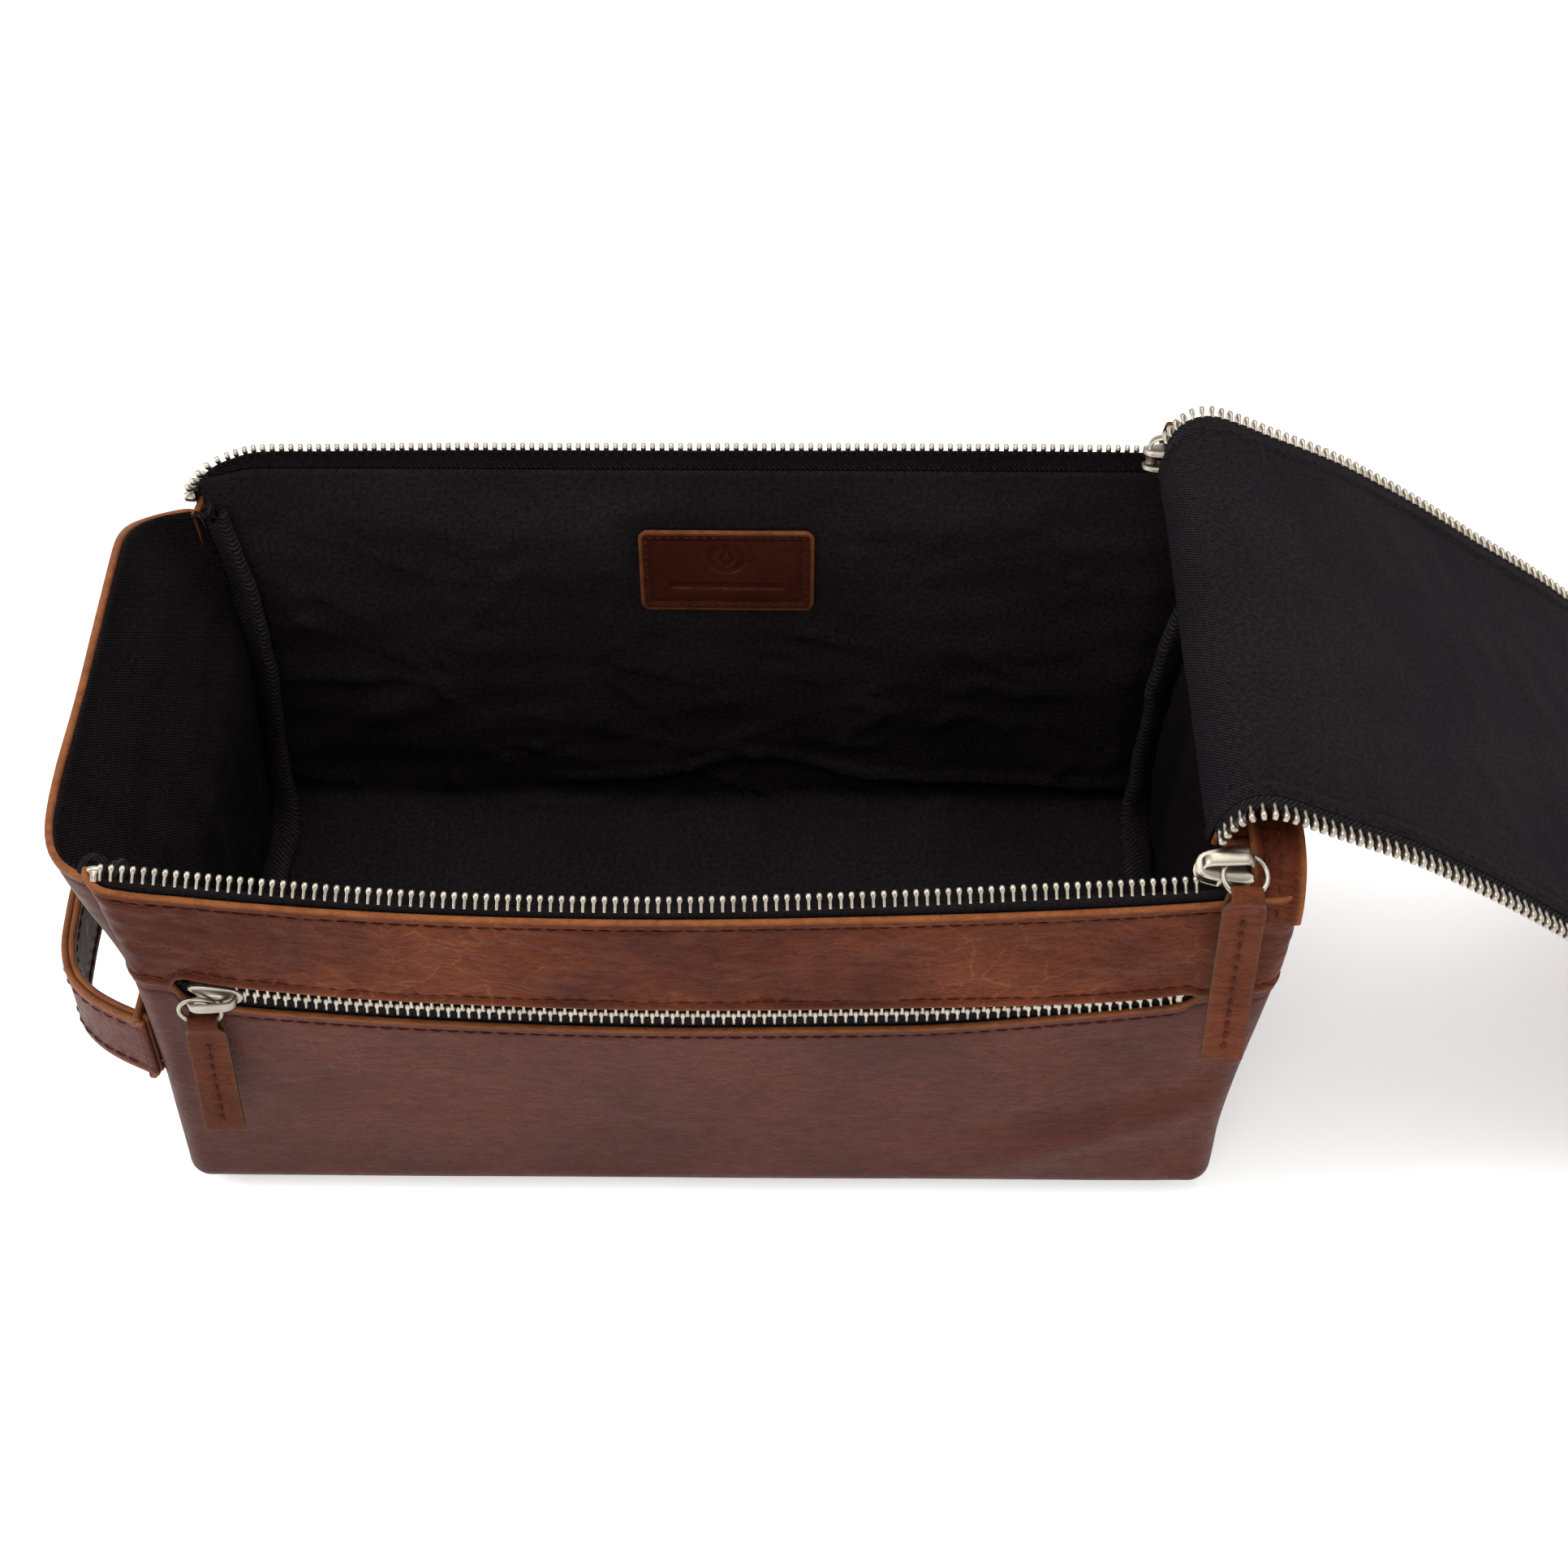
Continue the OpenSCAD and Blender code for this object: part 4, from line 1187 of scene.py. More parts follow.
def top_end():
    """Leather strip over the bag's right end, its lining, and the folded covers over the ends of the mouth
    zips.
    """
    y = lines(-64.5, 64.5, 3.0)
    x = lines(119.5, 138.0, 1.8)
    d_x = np.minimum(x - 119.5, 138.0 - x)[:, None]
    d_y = (64.5 - np.abs(y))[None]
    rim = np.minimum(d_x, d_y)
    fall = 1.6 * smooth((x - 131) / 9)[:, None] + 1.2 * smooth((np.abs(y) - 56) / 8)[None]
    grid = np.stack(np.broadcast_arrays(x[:, None], y[None], 137.0 - fall - 0.5 * hump(y, 30)[None]), -1)
    edge = 1 - smooth((rim - 0.6) / 1.6)
    mesh = sheet_mesh("end_strip_leather", grid, 1.5, rim, rolled(rim), grid[..., :2], edge)
    link(mesh, "end_strip_leather", finish_of("Leather band"), "bag", ["top_end_strip"])
    flat = np.stack(np.broadcast_arrays(np.linspace(120, 136.5, 14)[:, None],
                                        np.linspace(-62, 62, 30)[None], 134.6 - 0 * x[:1, None]), -1)
    mesh = sheet_mesh("end_strip_lining", flat[:, ::-1], 0.5, None, 0.0, flat[..., :2])
    link(mesh, "end_strip_lining", finish_of("Lining twill"), "bag", ["top_end_lining"])
    for sign in (-1, 1):
        across = lines(125.0, 137.4, 1.5)
        roll = np.linspace(0, 1, 26)
        path = through(COVER_CURVE, roll)
        y, z = sign * path[None, :, 0] + sign * 0.9, path[None, :, 1]
        grid = np.stack(np.broadcast_arrays(across[:, None], y, z), -1)
        if normals_of(grid)[3, 3, 2] < 0:
            grid = grid[:, ::-1]
        rim = np.minimum(across - 125.0, 137.4 - across)[:, None] + 0 * grid[..., 0]
        name = "zip_cover_%s" % ("front" if sign < 0 else "back")
        edge = 1 - smooth((rim - 0.5) / 1.4)
        mesh = sheet_mesh(name, grid, 1.4, rim, rolled(rim), grid[..., [0, 2]], edge)
        link(mesh, name, finish_of("Leather band"), "bag", ["zip_end_covers"])
    runs = []
    for sign in (-1, 1):
        for x0 in (128.3, 131.6):
            roll = np.linspace(0.12, 0.95, 30)
            path = through(COVER_CURVE, roll)
            points = np.column_stack([0 * roll + x0, sign * (path[:, 0] + 0.9), path[:, 1]])
            tangent = unit(np.gradient(points, axis=0))
            out = np.cross(tangent, (1, 0, 0)) * sign
            out *= np.sign(out[:, 2:3] + sign * out[:, 1:2])
            runs.append((points + out * 0.75, out))
    mesh = stitch_mesh("zip_cover_stitches", runs, pitch=3.0, gap=0.7)
    link(mesh, "zip_cover_stitches", finish_of("Thread"), "bag")


# The front half of the strap's middle line, as (x, y).
HANDLE_PLAN = [(-133.0, -66.2), (-134.2, -65.6), (-136.5, -64.4), (-142, -61.6), (-148, -57.6),
               (-153.0, -52.2), (-156.2, -44), (-157.4, -32), (-157.8, -16), (-157.9, 0)]


def handle():
    """Strap of two leathers across the left end: flat rows of its width carried along its curve in plan."""
    plan = np.array(HANDLE_PLAN)
    plan = np.vstack([plan, plan[-2::-1] * (1, -1)])
    run = lengths_along(plan)
    at = np.arange(0, run[-1], 1.6)
    plan = through(np.column_stack([run, plan]), at)
    tangent = unit(np.gradient(plan, axis=0))
    out = np.stack([-tangent[:, 1], tangent[:, 0]], -1)
    w = lines(-11, 11, 1.5)[::-1]
    rim = (11 - np.abs(w))[None] + 0 * at[:, None]
    middle = 61.0 - 1.0 * np.sin(np.pi * at / run[-1])
    edge = 1 - smooth((rim - 0.5) / 1.3)
    made = []
    for name, shift, node, flip in (("handle_outer_leather", 0.78, "handle_outer", False),
                                    ("handle_inner_leather", -0.78, "handle_inner", True)):
        path = plan + out * shift
        grid = np.stack(np.broadcast_arrays(path[:, :1], path[:, 1:], middle[:, None] + w[None]), -1)
        if flip:
            grid = grid[:, ::-1]
        uv = np.stack([np.repeat(at[:, None], len(w), 1), grid[..., 2]], -1)
        mesh = sheet_mesh(name, grid, 1.55, rim, rolled(rim) * 0.6, uv, edge)
        made.append(link(mesh, name, finish_of("Leather strap"), None, [node]))
    runs = []
    for layer in (1.62, -1.62):
        for z in (8.0, -8.0):
            path = plan + out * layer
            runs.append((np.column_stack([path, middle + z])[3:-3],
                         np.column_stack([out * np.sign(layer), 0 * at])[3:-3]))
    mesh = stitch_mesh("handle_stitches", runs)
    made.append(link(mesh, "handle_stitches", finish_of("Thread")))
    for piece in made:
        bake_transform(piece)
    for sign in (-1, 1):
        y, z = np.meshgrid(lines(0, 9, 1.2, True, False), lines(48.5, 73.5, 1.6), indexing="ij")
        x = -134.6 - 0.25 * smooth(y / 9)
        grid = np.stack([x, sign * (57.5 + y * 1.05), z], -1)
        if normals_of(grid)[3, 3, 0] > 0:
            grid, y, z = grid[::-1], y[::-1], z[::-1]
        rim = np.minimum(np.minimum(z - 48.5, 73.5 - z), y)
        name = "handle_tab_" + ("front" if sign < 0 else "back")
        edge = 1 - smooth((rim - 0.5) / 1.4)
        mesh = sheet_mesh(name, grid, 1.5, rim, rolled(rim), grid[..., [1, 2]], edge)
        link(mesh, name, finish_of("Leather body"), "bag", ["handle_tabs"])


# A slider's plate as rings: (share of its outline, distance from the zip line).
PLATE_STEPS = [(0.0, 1.45), (0.97, 1.45), (1.0, 1.6), (1.0, 2.3), (0.96, 2.62), (0.88, 2.8), (0.70, 2.95),
               (0.0, 3.02)]
# The arch over a slider's outer plate, as (share, x, y).
ARCH_CURVE = [(0, -4.7, 2.6), (0.12, -4.3, 4.3), (0.25, -3.0, 5.3), (0.45, -0.4, 5.75), (0.65, 2.6, 6.0),
              (0.82, 5.0, 5.9), (0.92, 5.9, 5.1), (1, 6.0, 3.9)]


def slider_shape():
    """A zip slider about its zip line: x along the zip with the nose at -x, y outward, z across.

    Two shield plates with rounded rims, the post joining them at the nose, flanges along both sides,
    and an arch over the outer plate that holds the ring.
    """
    outline = path_by_length([(-6.4, 0), (-6.0, 1.8), (-4.4, 3.0), (-1.5, 3.7), (2.5, 4.5), (5.0, 4.6),
                              (6.3, 4.1), (6.6, 3.0), (5.2, 1.6), (4.6, 0)], count=18)
    outline = np.concatenate([outline, outline[-2:0:-1] * (1, -1)])
    parts = []
    for sign in (1, -1):
        rings = np.array([
            np.stack([outline[:, 0] * share, np.full(len(outline), sign * y), outline[:, 1] * share], -1)
            for share, y in PLATE_STEPS
        ])
        if sign < 0:
            rings = rings[:, ::-1]
        parts.append(capped_rings(rings[:, ::-1]))
    ring = np.linspace(0, 2 * np.pi, 12, endpoint=False)
    post = np.array([
        np.stack([-3.9 + 1.5 * np.cos(ring), 0 * ring + y, 0.8 * np.sin(ring)], -1) for y in (-1.6, 1.6)
    ])
    parts.append(capped_rings(post))
    for side in (1, -1):
        path = np.array([(-1.5, 0, 3.45), (1.5, 0, 4.1), (4.0, 0, 4.4), (5.6, 0, 4.1)]) * (1, 1, side)
        wall = np.stack([np.cos(ring) * 0.42, np.sin(ring) * 2.0], -1)
        wall[:, 1] = np.sign(wall[:, 1]) * np.minimum(np.abs(wall[:, 1]) * 1.3, 2.0)
        parts.append(capped_rings(tube_rings(path_by_length(path, count=9), wall, (0, 1, 0))))
    arch = through(ARCH_CURVE, np.linspace(0, 1, 24))
    fat = np.sin(np.pi * np.linspace(0.1, 0.9, 24)) * 0.5 + 1.15
    flat_x, flat_y = soft_square(ring)
    strap = np.stack([fat[:, None] * flat_x, 0.5 * flat_y + 0 * fat[:, None]], -1)
    path = np.column_stack([arch[:, 0], arch[:, 1], 0 * arch[:, 0]])
    tangent = unit(np.gradient(path, axis=0))
    up = np.cross(tangent, (0, 0, 1.0))
    parts.append(capped_rings(tube_rings(path, strap, up)))
    return joined(parts)


# For each zip: its slider's place, how far the slider is turned about x, and whether it is on the front.
ZIPS = {
    "front": ((119.1, -68.802, 134.3), 70.0, True),
    "back": ((119.1, 68.802, 134.3), 70.0, False),
    "pocket": ((-112.0, -70.22, 90.0), -3.127, True),
}


def turned(points, angle, mirrored, origin):
    """Slider coordinates to the bag's: turn about x, mirror front to back for the front's zips, and move."""
    a = np.radians(angle)
    y = points[:, 1] * np.cos(a) - points[:, 2] * np.sin(a)
    z = points[:, 1] * np.sin(a) + points[:, 2] * np.cos(a)
    return np.stack([points[:, 0], -y if mirrored else y, z], -1) + np.array(origin)


def sliders():
    """The three sliders, each turned onto its zip line, and a smooth finish for their wire rings."""
    for zip_name, (origin, angle, mirrored) in ZIPS.items():
        points, faces = slider_shape()
        if zip_name == "pocket":
            points = points * (-1, 1, 1)
            faces = faces[:, ::-1]
        points = turned(points, angle, mirrored, origin)
        if mirrored:
            faces = faces[:, ::-1]
        mesh = mesh_from(zip_name + "_slider_metal", points, faces)
        piece = link(mesh, mesh.name, finish_of("Slider metal"), zip_name + "_slider",
                     [zip_name + "_slider"])
        piece.modifiers.new("Round corners", "BEVEL").width = 0.00012
    for zip_name in ZIPS:
        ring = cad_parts[zip_name + "_ring"]
        ring.data.materials.clear()
        ring.data.materials.append(finish_of("Slider metal"))
        for face in ring.data.polygons:
            face.use_smooth = True


def stand_off(below):
    """How far a pull stands off outward at each height below its loop: its stiff strip leans away from the
    wall.
    """
    return 0.13 * np.maximum(below - 5.0, 0)


def pull(zip_name, length):
    """Leather pull: one strip folded over the ring, its two layers sewn down the middle, cut edges left
    raw.
    """
    low, high = (np.array(corner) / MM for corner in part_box(zip_name + "_pull"))
    out = 1 if zip_name == "back" else -1
    middle_x = (low[0] + high[0]) / 2
    outer_y = high[1] if out > 0 else -low[1]
    inner_y = low[1] if out > 0 else -high[1]
    middle_y = (outer_y + inner_y) / 2
    top = high[2]
    rows = [(0.0, 1.12 / 2, -(length - 2.4)), (0.42, 0.56, -6.5), (0.46, 0.75, -5.0), (0.49, 1.5, -3.6),
            (0.52, 1.9, -2.3), (0.55, 1.45, -1.2), (0.58, 0.0, -0.7)]
    fold = np.array([(y, z) for _, y, z in rows])
    fold = np.vstack([fold, fold[-2::-1] * (-1, 1)])
    run = lengths_along(fold)
    at = np.unique(np.concatenate([EDGE_STEPS[EDGE_STEPS < 4], run[-1] - EDGE_STEPS[EDGE_STEPS < 4],
                                   np.linspace(5, run[-1] - 5, 66)]))
    shape = through(np.column_stack([run, fold]), at)
    wide = 4.9
    v = lines(-1, 1, 2, False, False)
    v = np.unique(np.concatenate([v, 1 - EDGE_STEPS[EDGE_STEPS < 4] / wide,
                                  EDGE_STEPS[EDGE_STEPS < 4] / wide - 1, [-0.06, 0.06],
                                  np.linspace(-0.35, 0.35, 5)]))
    width = wide - 1.3 * smooth((shape[:, 1] + 6.5) / 5.0)
    curl = 0.25 * np.sin(np.linspace(0, np.pi, len(at)))
    x = middle_x + v[None] * width[:, None]
    sewn_in = 0.162 * hump(v, 0.25)[None] * smooth((-shape[:, 1:] - 6) / 4)
    y = shape[:, :1] - np.sign(shape[:, :1]) * sewn_in + 0 * x
    sweep = 0.35 * (np.abs(v) ** 2)[None] * curl[:, None]
    y = out * (middle_y + y + sweep + stand_off(-shape[:, 1:]))
    z = top + shape[:, 1:] + 0 * x
    grid = np.stack([x, y, z], -1)
    inner_normal = normals_of(grid)[8, len(v) // 2]
    if inner_normal[1] * np.sign(shape[8, 0]) * out < 0:
        grid = grid[:, ::-1]
    rim = np.minimum(wide * (1 - np.abs(v))[None] + 0 * x, np.minimum(at, run[-1] - at)[:, None] + 0 * x)
    cut = 1 - smooth((rim - 0.15) / 0.3)
    worn = 0.3 * (1 - smooth((rim - 0.2) / 1.0))
    uv = np.stack([x - middle_x, np.repeat(at[:, None], len(v), 1)], -1)
    mesh = sheet_mesh(zip_name + "_pull_leather", grid, 1.12, np.maximum(rim, 0.12), -0.12 * cut, uv,
                      np.maximum(cut, worn))
    body = zip_name + "_pull"
    link(mesh, mesh.name, finish_of("Leather pull"), body, [body])
    runs = []
    for face in (1, -1):
        z = np.linspace(top - 8.5, top - length + 5.5, 30)
        points = np.column_stack([0 * z + middle_x, out * (middle_y + face * 1.12 + stand_off(top - z)), z])
        runs.append((points, (0, out * face, 0)))
    mesh = stitch_mesh(zip_name + "_pull_stitches", runs, pitch=3.3, gap=0.9, wide=0.95)
    link(mesh, mesh.name, finish_of("Thread"), body)


# The open flap's middle line and the places where it bends, as (x, z).
FLAP_CURVE = [(117.2, 135.6), (117.6, 138.2), (118.4, 142.2), (120.2, 146.4), (123.3, 149.7),
              (127.8, 150.8), (134.4, 148.7), (143.4, 144.4), (153, 140), (162.9, 135.1), (173.1, 128.9),
              (183.6, 122.1), (194.4, 114.5), (201.5, 109.2), (212, 102), (224.7, 92.9), (233.6, 85.2),
              (245, 70), (258, 48), (271, 26), (284.3, 3.2)]
FLAP_PIVOTS = [(112.0, 137.2), (121.01, 151.62), (153.16, 140.55), (191.53, 117.03), (238.48, 79.68)]


def flap_curve():
    """Lengths along the open flap and its middle line, every 0.8 mm, with the lengths of its five bends."""
    knots = np.array(FLAP_CURVE)
    run = lengths_along(knots)
    fine = through(np.column_stack([run, knots]), np.arange(0, run[-1], 0.2))
    line = path_by_length(np.vstack([fine, knots[-1:]]), step=0.8)
    length = lengths_along(line)
    bends = [float(length[np.argmin(np.hypot(line[:, 0] - x, line[:, 1] - z))]) for x, z in FLAP_PIVOTS]
    return length, line, bends


def flap():
    """The open flap: leather below, lining above and teeth along both edges, each in strips cut halfway
    between its bends.
    """
    length, line, bends = flap_curve()
    total = length[-1]
    middles = [0.0] + [(a + b) / 2 for a, b in zip(bends, bends[1:])] + [(bends[-1] + total) / 2, total]
    tangent = unit(np.gradient(line, axis=0))
    up = np.stack([-tangent[:, 1], tangent[:, 0]], -1)

    def place(at, lift):
        """Points on the flap's profile at lengths at, lifted towards the lining."""
        base = by_length(at, length, line)
        away = unit(by_length(at, length, up))
        return base + away * np.asarray(lift)[..., None]

    def surface(at, y, lift):
        """Grid across the flap at one lift or one lift per point."""
        lift = np.broadcast_to(lift, (len(at), len(y)))
        flat = place(np.repeat(at, len(y)), lift.ravel()).reshape(len(at), len(y), 2)
        return np.stack([flat[..., 0], np.broadcast_to(y, flat.shape[:2]), flat[..., 1]], -1)

    def attach(piece, index):
        """Put the last strip on the body flap_5; the others are baked where they stand."""
        if index == 5:
            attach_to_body(piece, "flap_5")
            return
        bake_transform(piece)

    y_leather = lines(-63.2, 63.2, 2.6)
    y_lining = np.unique(np.concatenate([np.linspace(-62.4, 62.4, 50), np.linspace(-62.4, -55, 14),
                                         np.linspace(55, 62.4, 14)]))
    for index in range(6):
        a, b = middles[index], middles[index + 1]
        last = index == 5
        node = "flap_%s_" + str(min(index + 1, 5))
        if last:
            at = np.unique(np.concatenate([np.linspace(a, b - 8, 22), total - EDGE_STEPS]))
        else:
            at = np.linspace(a, b, max(8, int((b - a) / 1.3)))
        trim = (int(index > 0), int(not last))
        if trim[0]:
            at = np.concatenate([[at[0] - 1.3], at])
        if trim[1]:
            at = np.concatenate([at, [at[-1] + 1.3]])
        to_end = total - at[:, None] + 0 * y_leather[None]
        rim = np.minimum((63.2 - np.abs(y_leather))[None] + 0 * to_end, to_end)
        slack = 0.25 * ripple(at[:, None], y_leather[None], 51, 40) * smooth(rim / 10)
        grid = surface(at, y_leather, -0.35 + slack)[:, ::-1]
        uv = np.stack([np.repeat(at[:, None], len(y_leather), 1), grid[..., 1]], -1)
        edge = 1 - smooth((rim - 0.5) / 1.5)
        mesh = sheet_mesh("flap_leather_strip_%d" % (index + 1), grid, 1.3, rim[:, ::-1],
                          rolled(rim[:, ::-1]), uv, edge, trim)
        attach(link(mesh, mesh.name, finish_of("Leather flap"), None, [node % "leather"]), index)
        reach = (62.4 - np.abs(y_lining))[None]
        calm = smooth(reach / 7)
        slack = 0.55 * ripple(at[:, None], y_lining[None], 52, 48) * calm
        slack = slack + 0.25 * ripple(at[:, None] * 1.3, y_lining[None], 53, 17) * calm
        ridge = 0.55 * hump(reach - 2.2, 1.5) - 0.25 * hump(reach - 4.6, 0.5)
        lift = 0.75 + slack * 0.9 + ridge + 0 * at[:, None]
        grid = surface(at, y_lining, np.maximum(lift, 0.6))
        uv = np.stack([np.repeat(at[:, None], len(y_lining), 1), grid[..., 1]], -1)
        mesh = sheet_mesh("flap_lining_strip_%d" % (index + 1), grid, 0.5, None, 0.0, uv, None, trim)
        attach(link(mesh, mesh.name, finish_of("Flap twill"), None, [node % "lining"]), index)
        tape_from, tape_to = max(a, bends[0] + 4.0), min(b, total - 3)
        if tape_to - tape_from < 3:
            continue
        along = np.linspace(tape_from, tape_to, max(4, int((tape_to - tape_from) / 2)))
        parts = []
        teeth_at = bends[0] + 6.0 + np.arange(0, total, size("pitch"))
        teeth_at = teeth_at[(teeth_at >= tape_from) & (teeth_at < (total - 4.5 if last else tape_to))]
        tooth = tooth_shape(4.1, 1.15, 2.3)
        for side in (-1, 1):
            y = side * np.array([57.5, 60, 62.5, 64.0, 65.6])
            grid = surface(along, y, np.array([0.55, 0.6, 0.5, 0.3, 0.2])[None] + 0 * along[:, None])
            if normals_of(grid)[1, 1, 2] < 0:
                grid = grid[:, ::-1]
            uv = np.stack([grid[..., 1] * side - 62, np.repeat(along[:, None], 5, 1)], -1)
            mesh = sheet_mesh("flap_tape_%s_%d" % ("front" if side < 0 else "back", index + 1), grid, 0.6,
                              None, 0.0, uv)
            attach(link(mesh, mesh.name, finish_of("Zip tape"), None), index)
            feet = place(teeth_at, 0 * teeth_at)
            heading = unit(place(teeth_at + 1, 0 * teeth_at) - place(teeth_at - 1, 0 * teeth_at))
            ahead = np.column_stack([heading[:, 0], 0 * teeth_at, heading[:, 1]])
            sideways = np.tile((0.0, side * 1.0, 0.0), (len(teeth_at), 1))
            out = unit(sideways - 0.12 * np.cross(ahead, (0, -1.0, 0)))
            origin = np.column_stack([feet[:, 0], 0 * teeth_at + side * 64.9, feet[:, 1]])
            across = np.cross(ahead, out) * -side
            parts.append(copies(tooth[0], tooth[1][:, ::-side], origin, ahead, out, across))
        points, faces = joined(parts)
        mesh = mesh_from("flap_teeth_strip_%d" % (index + 1), points, faces)
        attach(link(mesh, mesh.name, finish_of("Zip metal"), None, [node % "teeth"]), index)
        runs = []
        for side in (-1, 1):
            edge_run = surface(along, np.array([side * 59.4]), 1.25)[:, 0]
            out = np.column_stack([np.interp(along, length, up[:, 0]), 0 * along,
                                   np.interp(along, length, up[:, 1])])
            runs.append((edge_run, out))
        mesh = stitch_mesh("flap_stitches_%d" % (index + 1), runs, pitch=3.4, gap=1.0)
        attach(link(mesh, mesh.name, finish_of("Dark thread")), index)


def body_stitches():
    """Stitch rows 3.3 mm in from the turned edges of the front's leathers and the ends' top edges."""
    x = np.linspace(-130, 136, 240)
    runs = []
    for height in (front_top(x) - 3.3, front_heights(x, "band")[0] + 3.3):
        y = front_y(x, height) - 0.45
        runs.append((np.column_stack([x, y, height]), (0, -1, 0.08)))
    x2 = np.linspace(-118, 114, 220)
    height = front_heights(x2, "low")[1] - 3.3
    runs.append((np.column_stack([x2, front_y(x2, height) + 0.1, height]), (0, -1, 0.08)))
    height = back_top(x) - 3.3
    runs.append((np.column_stack([x, back_y(x, height) + 0.0, height]), (0, 1, 0.08)))
    y = np.linspace(-63, 63, 120)
    runs.append((np.column_stack([left_x(127.2) - left_lean(y / 66, 0 * y + 127.2) - 0.1, y,
                                  127.2 - end_dip(y, 0 * y + 127.2, -1)]), (-1, 0, 0.25)))
    runs.append((np.column_stack([right_x(0 * y + 127.2) + 0.1, y, 127.2 - end_dip(y, 0 * y + 127.2, 1)]),
                 (1, 0, 0.1)))
    mesh = stitch_mesh("body_stitches", runs)
    link(mesh, "body_stitches", finish_of("Thread"), "bag")
    bars = []
    for k in range(5):
        bars.append((np.array([(-135.5 + k * 0.7, -68.2, 127.9), (-131.5 + k * 0.7, -71.2, 129.3)]),
                     (0, 0, 1)))
    mesh = stitch_mesh("corner_bartacks", bars, pitch=3.6, gap=0.3)
    link(mesh, "corner_bartacks", finish_of("Thread"), "bag")


def stops():
    """Small metal stops closing the left ends of the mouth teeth and the ends of the pocket's zip."""
    shape = tooth_shape(3.6, 2.6, 2.9)
    origins = [(-132.6, -72.0, 131.2), (-134.6, 67.4, 120.5),
               (114.0, front_y(114, 90) + 1.7, float(pocket_line(114.0)) - 1.6)]
    outs = [(0, 0.7, 0.7), (0, -0.7, 0.7), (0, 0, 1.0)]
    ahead = np.tile((1.0, 0, 0), (3, 1))
    out = unit(outs)
    points, faces = copies(shape[0], shape[1], np.array(origins, float), ahead, out, np.cross(ahead, out))
    mesh = mesh_from("zip_stop_metal", points, faces)
    link(mesh, "zip_stop_metal", finish_of("Zip metal"), "bag", ["zip_stops"])


def finishes():
    """Every material of the bag, from its colours."""
    c = colours()
    grain = leather_group()
    twill = twill_group()
    leather_material("Leather body", grain, [v * 0.78 for v in c.leather], [v * 1.22 for v in c.leather],
                     0.05, 0.46, 0.01, 0.085)
    leather_material("Leather band", grain, [v * 0.78 for v in c.leather],
                     [v * 0.92 for v in c.leather_light], 0.4, 0.36, 0.0, 0.03)
    leather_material("Leather flap", grain, c.leather, c.leather_light, 0.85, 0.38, 0.0, 0.035, flat=True)
    leather_material("Leather strap", grain, c.leather, [v * 1.3 for v in c.leather], 0.15, 0.46, 0.02,
                     0.08, flat=True)
    leather_material("Leather label", grain, [v * 0.6 for v in c.leather], c.leather, 0.0, 0.32, 0.0, 0.05)
    leather_material("Leather pull", grain, [v * 0.52 for v in c.leather_light],
                     [v * 0.95 for v in c.leather_light], 0.3, 0.50, 0.0, 0.06, (0.075, 0.040, 0.018))
    cloth_material("Lining twill", twill, c.cloth, 0.0009)
    cloth_material("Flap twill", twill, [v * 0.62 for v in c.cloth], 0.0009, sheen=0.006)
    # A darker copy of the lining cloth for the end linings: painted shade inside the ends.
    cloth_material("End twill painted shade", twill, [v * 0.45 for v in c.cloth], 0.0009)
    cloth_material("Binding", twill, [v * 1.25 for v in c.cloth], 0.0016, 1.0)
    cloth_material("Zip tape", twill, [v * 0.75 for v in c.cloth], 0.0013, 1.0)
    metal_material("Zip metal", c.metal, 0.24)
    metal_material("Slider metal", [v * 0.85 for v in c.metal], 0.26)
    thread_material("Thread", c.thread)
    thread_material("Dark thread", [v * 1.0 for v in c.cloth])


# ---- setting ----


def camera():
    """The camera: in front and above, looking down into the open bag."""
    data = bpy.data.cameras.new("camera")
    data.lens, data.sensor_width = 59.85, 36.0
    eye = bpy.data.objects.new("camera", data)
    eye.location = (0.024, -0.442, 0.580)
    eye.rotation_euler = Euler([np.radians(v) for v in (41.73, 0.0, 0.41)])
    bpy.context.collection.objects.link(eye)
    bpy.context.scene.camera = eye


def lamp(name, size, power, place, aim):
    """A soft box: an area light at a place, aimed at a point."""
    data = bpy.data.lights.new(name, "AREA")
    data.shape, data.size, data.size_y, data.energy = "RECTANGLE", size[0], size[1], power
    light = bpy.data.objects.new(name, data)
    light.location = place
    away = np.array(place, float) - np.array(aim, float)
    light.rotation_euler = Euler((np.arctan2(np.hypot(away[0], away[1]), away[2]), 0,
                                  np.arctan2(away[0], -away[1])))
    bpy.context.collection.objects.link(light)


